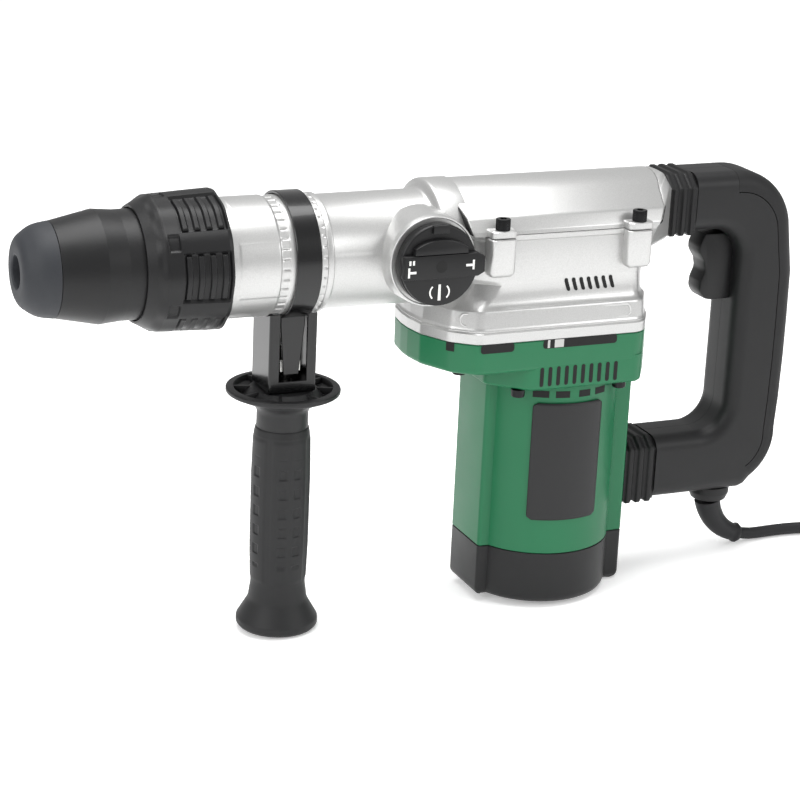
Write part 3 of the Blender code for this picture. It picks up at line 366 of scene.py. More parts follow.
gland_profile = softened(
    ((0.0395, 0.0045), (0.0395, 0.011), (0.044, 0.0128), (0.0487, 0.0128), (0.0487, 0.0045)),
    (0, 0.001, 0.001, 0.0005, 0),
)
gland_collar = turned(gland_profile, 48, (boot_x, 0.0, 0.0), upright)


# Nose, sleeve and locking ring. A bluish dark rubber dust cap on a black glass-filled nylon sleeve, and the ribbed
# nylon ring that is pulled back to free the tool. All are turned about the barrel's axis.
def textured(name, code, roughness, grain_mm, depth_mm, strength=0.35, mottle=0.0, metallic=0.0, **sockets):
    """A moulded or cast finish: a noise of the given grain dents it, and may mottle its roughness."""
    mat, tree, shader = new_finish(name, code, roughness, metallic, **sockets)
    place = node(tree, "ShaderNodeTexCoord")
    grain = node(
        tree, "ShaderNodeTexNoise", [("Vector", place.outputs["Object"])], Scale=1000.0 / grain_mm, Detail=3.0
    )
    dent = node(
        tree, "ShaderNodeBump", [("Height", grain.outputs["Fac"])], Strength=strength, Distance=depth_mm / 1000.0
    )
    tree.links.new(dent.outputs["Normal"], shader.inputs["Normal"])
    if mottle:
        cloud = node(tree, "ShaderNodeTexNoise", [("Vector", place.outputs["Object"])], Scale=60.0, Detail=4.0)
        spread = node(tree, "ShaderNodeMapRange", [("Value", cloud.outputs["Fac"])])
        spread.inputs["To Min"].default_value = roughness - mottle
        spread.inputs["To Max"].default_value = roughness + mottle
        tree.links.new(spread.outputs["Result"], shader.inputs["Roughness"])
    return mat


# Nitrile rubber: bluish, matt, slightly dusty.
nose_rubber = textured("nitrile_nose_rubber", "292b2f", 0.6, 1.2, 0.12, 0.3, 0.08, Specular_IOR_Level=0.35)
nose_profile = softened(
    (
        (-0.3073, 0.0269), (-0.3165, 0.0255), (-0.3262, 0.0185), (-0.3262, 0.0092), (-0.3205, 0.009),
        (-0.3205, 0.014), (-0.3073, 0.014),
    ),
    (0.0006, 0.02, 0.0085, 0.0012, 0, 0, 0),
    12,
)
add_piece("nose_rubber_cap", *turned(nose_profile, 96), nose_rubber, "spindle", ("nose_cap",))

# Glass-filled nylon: satin black with a spark-eroded texture about half a millimetre across.
black_nylon = textured("spark_eroded_black_nylon", "141415", 0.42, 0.7, 0.1, 0.35, 0.05, Specular_IOR_Level=0.3)
sleeve_profile = softened(
    ((-0.256, 0.0311), (-0.27, 0.0309), (-0.2822, 0.032), (-0.307, 0.0268), (-0.307, 0.02), (-0.256, 0.02)),
    (0, 0.004, 0.0012, 0.0004, 0, 0),
    5,
)
add_piece("cone_sleeve", *turned(sleeve_profile, 96), black_nylon, "spindle", ("front_sleeve",))


def step(value, low, high):
    """Smoothly from 0 to 1 as value goes from low to high."""
    share = np.clip((value - low) / (high - low), 0, 1)
    return share * share * (3 - 2 * share)


def between(value, low, high, edge):
    """Smoothly from 0 to 1 at low and back to 0 at high, each over one edge's width."""
    return step(value, low, low + edge) * (1 - step(value, high, high + edge))


def ring_relief(along, turn, radius):
    """Six pockets round the ring, each cut 2 mm deep with four raised ribs in it, and a thumb notch between them."""
    outside = radius > 0.0362
    sector = (turn / (2 * np.pi) * 6) % 1 - 0.5
    window = (1 - step(np.abs(sector), 0.335, 0.355)) * between(along, -0.2425, -0.2155, 0.0006)
    wave = 0.5 - 0.5 * np.cos((along + 0.2425) / 0.0272 * 2 * np.pi * 4)
    window = window * (1 - 0.8 * step(wave, 0.35, 0.75) * (1 - step(np.abs(sector), 0.3, 0.33)))
    apart = np.abs(((turn / (2 * np.pi) * 6 + 0.5) % 1) - 0.5)
    notch = (1 - step(apart, 0.1, 0.12)) * between(along, -0.25, -0.244, 0.0006)
    facet = 0.0004 * np.cos(turn * 12)
    return radius - outside * (0.0019 * window + 0.0013 * notch - facet)


ring_x = np.r_[np.linspace(-0.2612, -0.251, 10), np.linspace(-0.2506, -0.2138, 150)]
ring_r = np.interp(ring_x, (-0.2612, -0.251, -0.232, -0.216, -0.2138), (0.033, 0.0386, 0.0396, 0.0403, 0.0396))
ring_inside = ((-0.2138, 0.0352), (-0.252, 0.0352), (-0.252, 0.0318))
ring_profile = np.vstack([((-0.2612, 0.0318),), np.c_[ring_x, ring_r], ring_inside])
add_piece(
    "ribbed_lock_ring", *turned(ring_profile, 384, shape=ring_relief), black_nylon, "lock_ring", ("locking_ring",), 55
)


# Barrel. Die-cast aluminium tube under silver lacquer with fine metal flake, a flat pad on each side, index teeth
# next to the side-handle band, and a collar where it is bolted to the gear housing.
def cast_lacquer(name, code, roughness):
    """Silver lacquer over a casting: flake 0.5 mm across varies its brightness, and an orange peel dents it."""
    mat, tree, shader = new_finish(name, code, roughness, 0.75, Coat_Weight=0.15, Coat_Roughness=0.2)
    place = node(tree, "ShaderNodeTexCoord")
    flake = node(tree, "ShaderNodeTexNoise", [("Vector", place.outputs["Object"])], Scale=1700.0, Detail=2.0)
    mix = node(tree, "ShaderNodeMix", [("Factor", flake.outputs["Fac"])], data_type="RGBA")
    mix.inputs["A"].default_value = tuple(0.82 * value for value in linear(code)[:3]) + (1.0,)
    mix.inputs["B"].default_value = tuple(min(1.0, 1.16 * value) for value in linear(code)[:3]) + (1.0,)
    tree.links.new(mix.outputs["Result"], shader.inputs["Base Color"])
    dent = node(tree, "ShaderNodeBump", [("Height", flake.outputs["Fac"])], Strength=0.2, Distance=0.0001)
    tree.links.new(dent.outputs["Normal"], shader.inputs["Normal"])
    return mat


silver_lacquer = cast_lacquer("silver_lacquered_casting", "bcbcbb", 0.36)


def barrel_relief(along, turn, radius):
    """Four shallow pads round the barrel behind the ring, and a row of index teeth each side of the band."""
    outside = radius > 0.0325
    sector = (turn / (2 * np.pi) * 4 + 0.5) % 1 - 0.5
    pad = (1 - step(np.abs(sector), 0.3, 0.312)) * between(along, -0.2085, -0.185, 0.0005)
    teeth = np.abs((turn / (2 * np.pi) * 36 + 0.5) % 1 - 0.5)
    rows = between(along, -0.1835, -0.179, 0.0003) + between(along, -0.1593, -0.1572, 0.0003)
    gap = (1 - step(teeth, 0.06, 0.1)) * rows
    return radius + outside * (0.0003 * pad - 0.0007 * gap)


barrel_x = np.linspace(-0.2412, -0.1569, 170)
barrel_r = 0.0342 - 0.0006 * (step(barrel_x, -0.1845, -0.1842) - step(barrel_x, -0.1786, -0.1783))
barrel_r[0] -= 0.0005
barrel_inside = ((-0.1569, 0.0286), (-0.205, 0.0286), (-0.205, 0.031))
barrel_profile = np.vstack([((-0.2415, 0.031),), np.c_[barrel_x, barrel_r], barrel_inside])
add_piece(
    "cast_barrel", *turned(barrel_profile, 288, shape=barrel_relief), silver_lacquer, "housing", ("barrel_tube",), 50
)


# Side handle. A black lacquered spring-steel band and folded bracket, a nylon hand guard with a ribbed recess, and a
# soft grip that ends in a round foot.
side_x = -0.1685
black_lacquer, tree, shader = new_finish(
    "gloss_black_lacquered_steel", "080809", 0.25, 0.0, Coat_Weight=0.25, Specular_IOR_Level=0.35
)
rounding = node(tree, "ShaderNodeBevel", samples=6, Radius=0.0006)
tree.links.new(rounding.outputs["Normal"], shader.inputs["Normal"])
band_turn = np.radians(np.linspace(-90 + 19.5, 270 - 19.5, 140))
band_radius = 0.0356
band_y = band_radius * np.cos(band_turn)
band_z = axis_z + band_radius * np.sin(band_turn)
tail_y = np.linspace(0.0118, 0.0108, 12)
tail_z = np.linspace(0.183, 0.15, 12)
band_line = np.vstack([np.c_[tail_y[::-1], tail_z[::-1]], np.c_[band_y, band_z], np.c_[-tail_y, tail_z]])
band_side = np.gradient(band_line, axis=0)
band_side /= np.linalg.norm(band_side, axis=1)[:, None]
band_out = np.c_[band_side[:, 1], -band_side[:, 0]]
band_half = 0.0074 * np.clip(0.62 + (band_line[:, 1] - 0.15) / 0.08, 0.62, 1.0)
band_corners = ((-1.0, -0.0008), (-1.0, 0.0005), (-0.95, 0.0008), (0.95, 0.0008), (1.0, 0.0005), (1.0, -0.0008))
band_points = np.stack(
    [
        np.c_[side_x + x * band_half, band_line + out * band_out]
        for x, out in band_corners
    ],
    axis=1,
)
add_piece("clamp_strap", *capped(band_points), black_lacquer, "side_clamp", ("clamp_band",), 30)
bpy.data.objects["handle_bracket"].material_slots[0].material = black_lacquer

guard_nylon = textured("hand_guard_nylon", "1e1e1f", 0.48, 0.8, 0.08, 0.3, 0.05, Specular_IOR_Level=0.35)
guard_profile = softened(
    (
        (0.0218, 0.0045), (0.0218, 0.0082), (0.1152, 0.0082), (0.1152, 0.0152), (0.1272, 0.015),
        (0.1312, 0.0215), (0.1366, 0.0334), (0.1392, 0.0334), (0.1396, 0.029), (0.1362, 0.028),
        (0.1352, 0.0232), (0.1391, 0.019), (0.1391, 0.0045),
    ),
    (0, 0, 0, 0.0005, 0.006, 0.004, 0.001, 0.001, 0.0005, 0.001, 0.001, 0.0005, 0),
)
guard_body = turned(guard_profile, 128, (side_x, 0.0, 0.0), upright)


def slab(outline, low, high, ease=0.0006, frame_axes=((1, 0, 0), (0, 1, 0), (0, 0, 1)), origin=(0, 0, 0)):
    """A flat outline raised from low to high with its two rims eased in by ease: (points, faces)."""
    outline = np.asarray(outline, float)
    depth = np.array((0.0, 0.3, 1.0)) * ease
    inset = np.array((1.0, 0.3, 0.0)) * ease
    heights = np.r_[low + depth, (high - depth)[::-1]]
    insets = np.r_[inset, inset[::-1]]
    rings = np.stack([shrunk(outline, amount) for amount in insets])
    points = np.concatenate([rings, np.broadcast_to(heights[:, None, None], (*rings.shape[:2], 1))], axis=2)
    points, faces = capped(points)
    return points @ np.asarray(frame_axes, float) + np.asarray(origin, float), faces


def shrunk(outline, amount, free=None, guides=None):
    """A closed outline moved inwards along its mitred normals; free scales and guides replace a point's move."""
    before = outline - np.roll(outline, 1, axis=0)
    after = np.roll(outline, -1, axis=0) - outline
    before /= np.maximum(np.linalg.norm(before, axis=1), 1e-9)[:, None]
    after /= np.maximum(np.linalg.norm(after, axis=1), 1e-9)[:, None]
    area = np.sum(outline[:, 0] * np.roll(outline[:, 1], -1) - np.roll(outline[:, 0], -1) * outline[:, 1])
    turn = 1.0 if area > 0 else -1.0
    normal = turn * (np.c_[-before[:, 1], before[:, 0]] + np.c_[-after[:, 1], after[:, 0]])
    length = np.sum(normal * normal, axis=1)[:, None]
    move = 2 * normal / np.maximum(length, 0.5)
    if free is not None:
        move = move * np.asarray(free)[:, None]
    for index, way in (guides or {}).items():
        move[index] = way
    return outline + amount * move


guard_ribs = []
for spoke in np.radians((20, 65, 115, 160, 200, 245, 295, 340)):
    away = (math.cos(spoke), math.sin(spoke), 0.0)
    across = (-math.sin(spoke), math.cos(spoke), 0.0)
    rib = ((0.0185, -0.0008), (0.029, -0.0008), (0.029, 0.0008), (0.0185, 0.0008))
    guard_ribs.append(slab(rib, 0.1345, 0.1391, 0.0002, (away, across, upright), (side_x, 0, 0)))
guard_shape = together(guard_body, *guard_ribs)
add_piece("hand_guard", *guard_shape, guard_nylon, "side_handle", ("side_handle_core",))


# Thermoplastic rubber grip: dull black with a soft sheen and pressed panels that keep the hand from turning.
grip_rubber = textured("thermoplastic_rubber_grip", "1d1d1e", 0.55, 0.9, 0.1, 0.3, 0.08, Specular_IOR_Level=0.35)


def grip_relief(along, turn, radius):
    """Four long panels 0.5 mm proud with rows of short dimples, over a swell in the middle of the grip."""
    outside = (radius > 0.015) & (along > 0.018) & (along < 0.113)
    sector = (turn / (2 * np.pi) * 4 + 0.5) % 1 - 0.5
    sector = np.abs(sector)
    panel = (1 - step(sector, 0.4, 0.44)) * between(along, 0.02, 0.108, 0.003)
    rows = np.abs((along / 0.012) % 1 - 0.5)
    dimple = (1 - step(rows, 0.22, 0.27)) * (1 - step(sector, 0.24, 0.27)) * step(sector, 0.07, 0.09)
    dimple = dimple * between(along, 0.03, 0.098, 0.002)
    return radius + outside * (0.0004 * panel - 0.0007 * dimple)


grip_z = np.linspace(0.115, 0.018, 220)
grip_r = np.interp(grip_z, (0.018, 0.042, 0.0865, 0.1115, 0.115), (0.0162, 0.0169, 0.017, 0.0164, 0.0157))
foot = softened(
    ((0.018, 0.0162), (0.0075, 0.0176), (-0.004, 0.0243), (-0.0075, 0.0243), (-0.0094, 0.0226), (-0.0094, 0.0)),
    (0, 0.01, 0.003, 0.002, 0.001, 0),
    7,
)
grip_inside = ((0.021, 0.0), (0.021, 0.0088), (0.1155, 0.0088), (0.1155, 0.0152))
grip_profile = np.vstack([grip_inside, np.c_[grip_z, grip_r], foot[1:]])
add_piece(
    "soft_side_grip",
    *turned(grip_profile, 160, (side_x, 0.0, 0.0), upright, grip_relief),
    grip_rubber,
    "side_handle",
    ("side_grip",),
)


# Gear housing. The lower aluminium casting: a wide flange on the motor, leaning walls, a narrower upper wall with
# bolt lugs, the neck that holds the barrel, the round boss of the selector, and a wall behind for the bellows.
def plan(half_width, front, back, nose=0.7):
    """The casting seen from above: parallel sides, a rounded nose to the front and chamfered rear corners."""
    right = (
        (back, 0.58 * half_width),
        (back - 0.013, half_width),
        (front + 0.026, half_width),
        (front + 0.012, nose * half_width + 0.004),
        (front + 0.002, 0.38 * half_width),
        (front, 0.1 * half_width),
    )
    right = np.array(right)
    return softened(np.vstack([right, right[::-1] * (1, -1)]), (0.006, 0.008, 0.012, 0.012, 0.012, 0.02) * 2, 6, True)


def stacked(sections):
    """A closed solid through level outlines of equal point counts, given as (height, outline) pairs."""
    return capped([np.c_[outline, np.full(len(outline), height)] for height, outline in sections])


def tapered(outline, levels):
    """A closed solid through one level outline that is drawn in by an inset at each (height, inset)."""
    return stacked([(height, shrunk(outline, inset)) for height, inset in levels])


def rectangle(low_x, low_y, high_x, high_y):
    """The four corners of an upright rectangle, from its low one."""
    return np.array(((low_x, low_y), (high_x, low_y), (high_x, high_y), (low_x, high_y)))


wall_plan = plan(0.0495, -0.094, 0.052)
upper_plan = plan(0.044, -0.084, 0.048)
cove_plan = plan(0.0428, -0.08, 0.0485)
wall_levels = (
    (0.1701, 0.0006), (0.1706, 0.0), (0.1762, 0.0), (0.1768, 0.0006), (0.1772, 0.0009), (0.1778, 0.0007),
    (0.1783, 0.0012), (0.18, 0.0016), (0.1882, 0.0022), (0.1892, 0.0025), (0.1899, 0.0033), (0.1905, 0.0042),
)
upper_levels = (
    (0.2064, 0.0), (0.224, 0.0003), (0.229, 0.0006), (0.23, -0.0006), (0.2322, -0.0006), (0.2326, -0.0001)
)
foot_plan = shrunk(wall_plan, 0.005)
casting_body = stacked(
    (
        *((height, shrunk(wall_plan, inset)) for height, inset in wall_levels),
        (0.1935, 0.62 * foot_plan + 0.38 * cove_plan),
        (0.198, 0.25 * foot_plan + 0.75 * cove_plan),
        (0.203, cove_plan),
        (0.2052, 0.3 * cove_plan + 0.7 * upper_plan),
        *((height, shrunk(upper_plan, inset)) for height, inset in upper_levels),
    )
)
neck_profile = softened(
    (
        (-0.1567, 0.0288), (-0.1567, 0.0341), (-0.153, 0.0344), (-0.1526, 0.0331), (-0.088, 0.0331),
        (-0.0868, 0.039), (-0.0772, 0.0391), (-0.0702, 0.0391), (-0.0702, 0.0288),
    ),
    (0, 0.0008, 0.0008, 0.0006, 0.003, 0.003, 0, 0.0002, 0),
)


def neck_relief(along, turn, radius):
    """A flat rib along each side of the neck."""
    side = np.abs(np.abs(turn - np.pi) - np.pi / 2)
    rib = (1 - step(side, 0.16, 0.19)) * step(along, -0.148, -0.147)
    outside = (radius > 0.0325) & (radius < 0.0335)
    return radius + outside * 0.0006 * rib


boss_profile = softened(
    (
        (0.019, 0.0), (0.019, 0.0275), (0.04, 0.0268), (0.0436, 0.0262), (0.0436, 0.0252),
        (0.0426, 0.0249), (0.0426, 0.0),
    ),
    (0, 0, 0.002, 0.001, 0.0003, 0, 0),
)
selector_x, selector_z = -0.097, 0.2205
selector_centre = (selector_x, 0.0, selector_z)
outwards = (0.0, -1.0, 0.0)
casting_boss = turned(boss_profile, 96, selector_centre, outwards)
lug_places = [(x, side) for x in (-0.056, 0.032) for side in (-1, 1)]
lug_plan = softened(rectangle(-0.0082, -0.0062, 0.0082, 0.0062), 0.0035, 5, True)


def bolt_lugs(*levels):
    """The four rounded lugs round the cover's bolts, drawn in by an inset at each (height, inset)."""
    points, faces = tapered(lug_plan, levels)
    return [(points + (x, side * 0.0448, 0.0), faces) for x, side in lug_places]


low_lugs = bolt_lugs((0.2095, 0.0032), (0.2104, 0.0012), (0.2125, 0.0), (0.2318, 0.0), (0.2324, 0.0006))


def along_x(sections):
    """A closed solid through upright outlines of equal point counts, given as (x, outline) pairs."""
    points, faces = stacked(sections)
    return points[:, [2, 0, 1]], faces


def resampled(line, count):
    """A line's shape told by count points evenly spaced along it."""
    line = np.asarray(line, float)
    along = np.r_[0, np.cumsum(np.linalg.norm(np.diff(line, axis=0), axis=1))]
    at = np.linspace(0, along[-1], count)
    return np.c_[np.interp(at, along, line[:, 0]), np.interp(at, along, line[:, 1])]


def hooded(half, low, shoulder, crown, crown_half, ease=0.004):
    """The arm's section as Y and Z: upright sides and a top that rises from each shoulder to a flat crown."""
    side = ((half, low), (half, shoulder), (crown_half, crown), (-crown_half, crown), (-half, shoulder), (-half, low))
    return softened(side, (0.003, 0.0025, ease, ease, 0.0025, 0.003), 6, True)


def arc_line(centre, radius, start, end, count):
    """Points on an arc between two turns in degrees."""
    turn = np.radians(np.linspace(start, end, count))
    return np.c_[centre[0] + radius * np.cos(turn), centre[1] + radius * np.sin(turn)]


arch_line = arc_line((0.0, axis_z), 0.0383, 55, 125, 40)
parting_z, cover_rise = 0.2329, 0.0239
shoulder_corners = ((0.0436, parting_z), (0.043, 0.2352), (0.0378, 0.2424), arch_line[0])
shoulder_line = softened(shoulder_corners, (0, 0.002, 0.006, 0), 6)
cover_line = np.vstack([shoulder_line[:-1], arch_line, (shoulder_line[:-1] * (-1, 1))[::-1]])


def cover_back(height):
    """X of the cover's slanted rear edge at a height."""
    return 0.0477 + (height - parting_z) / cover_rise * 0.014


def paired(low_line, side_line, top_line):
    """A closed section as Y and Z made of matching counts: the right side, the top and the left side."""
    side = resampled(side_line, 12)[:-1]
    top = resampled(top_line, 48)
    return np.vstack([(low_line,), side, top, (side * (-1, 1))[::-1], ((-low_line[0], low_line[1]),)])


cover_top = cover_line[6:-6]
start_section = paired((0.04, 0.2165), ((0.0425, 0.22), cover_line[6]), cover_top)
hood_corners = ((0.0207, 0.2485), (0.01, 0.2555), (-0.01, 0.2555), (-0.0207, 0.2485))
hood_top = softened(hood_corners, (0, 0.006, 0.006, 0), 6)
end_section = paired((0.019, 0.218), ((0.0207, 0.22), (0.0207, 0.2485)), hood_top)
rear_rings = []
for share, inset in ((-0.25, 0.001), (0.0, 0.0008), (0.02, 0.0001), (0.06, 0.0), (0.93, 0.0), (1.0, 0.0006)):
    blend = max(share, 0.0)
    ring = (1 - blend) * start_section + blend * end_section
    ring_x = (1 - share) * cover_back(start_section[:, 1]) + share * 0.0672
    rear_rings.append(np.c_[ring_x, shrunk(ring, inset)])
rear_wall = capped(rear_rings)
panel_outline = softened(rectangle(-0.03, 0.1805, 0.079, 0.1877), 0.0035, 8, True)


def rim_strip(outline, wall, side, width=0.0008, proud=0.0005):
    """A raised half-round bead along a closed outline that is wrapped on a wall: its first value runs forwards."""
    right = wall[wall[:, 1] > 0]
    right = right[np.argsort(-right[:, 0])]
    along = np.r_[0, np.cumsum(np.linalg.norm(np.diff(right, axis=0), axis=1))]
    along -= np.interp(0.0, -right[:, 0], along)
    way = np.gradient(right, axis=0)
    way /= np.linalg.norm(way, axis=1)[:, None]
    rings = []
    for angle in np.linspace(0, np.pi, 7):
        line = shrunk(outline, width * math.cos(angle))
        x, y, way_x, way_y = (np.interp(line[:, 0], along, values) for values in (*right.T, *way.T))
        lift = proud * math.sin(angle)
        rings.append(np.c_[x + lift * way_y, side * (y - lift * way_x), line[:, 1]])
    return np.concatenate(rings), grid_faces(7, len(outline)).tolist()


beads = [rim_strip(panel_outline, shrunk(wall_plan, 0.0019), side) for side in (-1, 1)]
casting_neck = turned(neck_profile, 192, shape=neck_relief)
housing_shape = together(casting_body, casting_neck, casting_boss, *low_lugs, rear_wall, *beads)
add_piece("gear_casting", *housing_shape, silver_lacquer, "housing", ("gear_housing",), 38)

# The slanted breather slots behind each side are flat strips in a near-black finish laid on the wall: painted shade
# that stands in for the openings.
painted_shade_opening, _, _ = new_finish("unlit_opening", "060606", 0.8)


def slot_strips(xs, heights, widths, half, side, lean=0.0):
    """Flat rounded strips of painted shade that stand for slots at each x, leaning back by lean, on a side wall whose
    half-width follows the height.
    """
    straight = np.linspace(heights[0] + half, heights[1] - half, 6)
    turn = np.radians(np.linspace(0, 180, 9))
    low_end = heights[0] + half - half * np.sin(turn[4::-1])
    high_end = heights[1] - half + half * np.sin(turn[:5])
    rows = np.r_[low_end, straight[1:-1], high_end]
    wide = np.r_[half * np.cos(turn[4::-1]), np.full(4, half), half * np.cos(turn[:5])]
    shapes = []
    for x in xs:
        middle = x + lean * (rows - heights[0])
        y = side * (np.interp(rows, *widths) + 0.00012)
        points = np.stack([np.c_[middle - wide, y, rows], np.c_[middle + wide, y, rows]], axis=1)
        shapes.append((points.reshape(-1, 3), grid_faces(len(rows), 2, False, False)))
    return shapes


vents = []
cove_heights = (0.1905, 0.1935, 0.198, 0.203, 0.2052, 0.2064)
cove_halves = (0.0453, 0.04385, 0.04323, 0.0428, 0.04364, 0.044)
for side in (-1, 1):
    vent_xs = np.linspace(-0.0095, 0.0195, 7)
    vents += slot_strips(vent_xs, (0.197, 0.205), (cove_heights, cove_halves), 0.0012, side, -0.3)
# Near-black strips on the cove that paint the shade of the breather slots.
add_piece("breather_slot_shade", *together(*vents), painted_shade_opening, "housing")


# Gear cover. The arched upper casting, with a sloping flat along each side, a thin dark joint below it, and four
# socket-head bolts in its lugs.
gasket_paper, _, _ = new_finish("dark_gasket_joint", "0c0c0c", 0.7)
gasket_level = tapered(upper_plan, ((0.2324, 0.0008), (0.2331, 0.0008)))


def slanted(section, offsets, insets):
    """A closed solid along X between the cover's slanted front and rear edges, offset and inset at each ring."""
    rings = []
    for (share, offset), inset in zip(offsets, insets):
        front = -0.0722 - (section[:, 1] - parting_z) / cover_rise * 0.005
        x = (1 - share) * front + share * cover_back(section[:, 1]) + offset
        rings.append(np.c_[x, shrunk(section, inset)])
    return capped(rings)


gasket_arch = slanted(cover_line, ((0, -0.0008), (1, 0.001)), (0.0007, 0.0007))
add_piece("cover_gasket", *together(gasket_level, gasket_arch), gasket_paper, "housing")
cover_rings = ((0, 0.0), (0, 0.0005), (0, 0.0012), (1, -0.0012), (1, -0.0005), (1, 0.0))
cover_body = slanted(cover_line, cover_rings, (0.0008, 0.0002, 0.0, 0.0, 0.0002, 0.0008))
cover_lugs = bolt_lugs((0.2329, 0.0006), (0.2335, 0.0), (0.2366, 0.0), (0.2372, 0.0008))
cover_shape = together(cover_body, *cover_lugs)
add_piece("arched_cover", *cover_shape, silver_lacquer, "housing", ("gear_cover",), 24)

black_oxide = textured("black_oxide_screw_steel", "1a1a1b", 0.35, 0.5, 0.05, 0.2, 0.0, 0.7)


def hexagon(along, turn, radius):
    """The socket inside a bolt's head is a hexagon: its radius is the flat's distance over the cosine of the turn."""
    inside = (radius > 0.0015) & (radius < 0.0028)
    return np.where(inside, 0.002 / np.cos((turn + np.pi / 6) % (np.pi / 3) - np.pi / 6), radius)


def knurled(along, turn, radius):
    """Fine straight knurls round the head, 40 to a turn, and the hexagon socket."""
    head = radius > 0.0035
    return hexagon(along, turn, radius) + head * 0.00012 * np.cos(turn * 40)


bolt_profile = softened(
    (
        (0.217, 0.0), (0.217, 0.0021), (0.2373, 0.0021), (0.2373, 0.0041), (0.2439, 0.0041),
        (0.2439, 0.0024), (0.2412, 0.0024), (0.2412, 0.0),
    ),
    (0, 0, 0, 0.0002, 0.0005, 0.0, 0, 0),
    4,
)
for number, (x, side) in enumerate(lug_places):
    place = (x, side * 0.0465, 0.0)
    add_piece(
        f"cover_bolt_{number + 1}",
        *turned(bolt_profile, 120, place, upright, knurled),
        black_oxide,
        "housing",
        (f"housing_bolt_{number + 1}",),
        35,
    )


# Selector knob. A black nylon disc with a raised bar that ends in a pointer, a curved thumb ridge above it, a dark
# disc of painted shade for the sunk screw in the middle, and plain white printed marks at three of its positions.
knob_profile = softened(
    ((0.0437, 0.0), (0.0437, 0.0232), (0.05, 0.0236), (0.0512, 0.0228), (0.0512, 0.0)),
    (0, 0.0003, 0.0008, 0.0012, 0),
)
knob_disc = turned(knob_profile, 144, selector_centre, outwards)
across_face = ((1, 0, 0), (0, 0, 1), (0, -1, 0))
lower_half = np.vstack([arc_line((0.0, 0.0), 0.023, 196, 344, 40), ((0.023, 0.0065), (-0.023, 0.0065))])
pointer = softened(
    ((-0.0226, -0.0068), (0.023, -0.0068), (0.027, -0.0046), (0.027, 0.0046), (0.023, 0.0068), (-0.0226, 0.0068)),
    (0.001, 0.002, 0.001, 0.001, 0.002, 0.001),
    4,
    True,
)
ridge_turn = np.radians(np.linspace(35, 145, 24))
ridge_arc = np.c_[0.0195 * np.cos(ridge_turn), 0.004 + 0.0115 * np.sin(ridge_turn)]
ridge = np.vstack([ridge_arc, ((-0.0165, 0.007), (0.0165, 0.007))])
stop_corners = ((-0.005, 0.0185), (0.005, 0.0185), (0.0048, 0.0232), (-0.0048, 0.0232))
stop_key = softened(stop_corners, 0.0005, 3, True)
knob_parts = [knob_disc]
for outline, low, high, ease in (
    (lower_half, 0.05, 0.0537, 0.0005),
    (pointer, 0.0487, 0.0552, 0.0006),
    (ridge, 0.05, 0.0552, 0.0008),
    (stop_key, 0.05, 0.0532, 0.0004),
):
    knob_parts.append(slab(outline, low, high, ease, across_face, selector_centre))
knob_nylon = textured("selector_black_nylon", "111112", 0.4, 0.6, 0.06, 0.25, 0.04, Specular_IOR_Level=0.3)
add_piece("selector_dial", *together(*knob_parts), knob_nylon, "selector", ("selector_knob",), 35)
# The screw's hole is a near-black disc with a short rim on the bar's face: painted shade.
screw_hole = turned(((0.0553, 0.0), (0.0553, 0.0034), (0.054, 0.0034)), 32, selector_centre, outwards)
add_piece("dial_screw_hole_shade", *screw_hole, painted_shade_opening, "selector")
white_ink, _, _ = new_finish("white_pad_print", "e9e9e6", 0.5)


def mark(outline, level):
    """A flat printed mark on the dial at one height."""
    outline = np.asarray(outline, float)
    points = np.c_[outline[:, 0] + selector_x, np.full(len(outline), -level), outline[:, 1] + selector_z]
    return points, [list(range(len(points)))]


def arc_strip(radius, start, end, width, centre):
    """A ring's segment between two turns."""
    outer = arc_line(centre, radius + width / 2, start, end, 16)
    inner = arc_line(centre, radius - width / 2, start, end, 16)
    return np.vstack([outer, inner[::-1]])


bar_level, dial_level = 0.05535, 0.05385
bars = (
    (0.019, -0.0026, 0.0202, 0.003), (0.015, -0.0006, 0.0192, 0.0008),
    (-0.0205, -0.0052, -0.0193, 0.0006), (-0.0193, -0.003, -0.0155, -0.0016),
    (-0.02, 0.002, -0.0188, 0.0046), (-0.0178, 0.002, -0.0166, 0.0046),
)
bit = ((-0.001, -0.0198), (0.0008, -0.0198), (0.0006, -0.0105), (-0.0008, -0.0105))
marks = [mark(rectangle(*bar), bar_level) for bar in bars]
marks.append(mark(bit, dial_level))
marks.append(mark(arc_strip(0.0044, 130, 230, 0.0009, (-0.0015, -0.015)), dial_level))
marks.append(mark(arc_strip(0.0044, -50, 50, 0.0009, (0.0015, -0.015)), dial_level))
add_piece("dial_marks", *together(*marks), white_ink, "selector")


# Motor housing. One green ABS moulding: a box under the gear casting with cooling windows and a lower collar with a
# row of slots, all painted as near-black shade, and the motor's barrel with a square shoulder front and rear. Its
# black end cap is glass-filled nylon.
def motor_plan(radius=0.045, front=-0.047, back=0.051, half=0.02, ease=0.0025):
    """The union of a circle and a block across it, as one outline: arcs joined to square shoulders."""
    reach = math.asin(half / radius)
    front_turn = np.linspace(np.pi + reach, 2 * np.pi - reach, 44)
    back_turn = np.linspace(reach, np.pi - reach, 44)
    lower = np.c_[np.cos(front_turn), np.sin(front_turn)] * radius
    upper = np.c_[np.cos(back_turn), np.sin(back_turn)] * radius
    corners = np.array(((back, -half), (back, half), (front, half), (front, -half)))
    rear = softened(np.vstack([lower[-1:], corners[:2], upper[:1]]), ease, 6)
    nose = softened(np.vstack([upper[-1:], corners[2:], lower[:1]]), ease, 6)
    return np.vstack([lower, rear[1:-1], upper, nose[1:-1]])


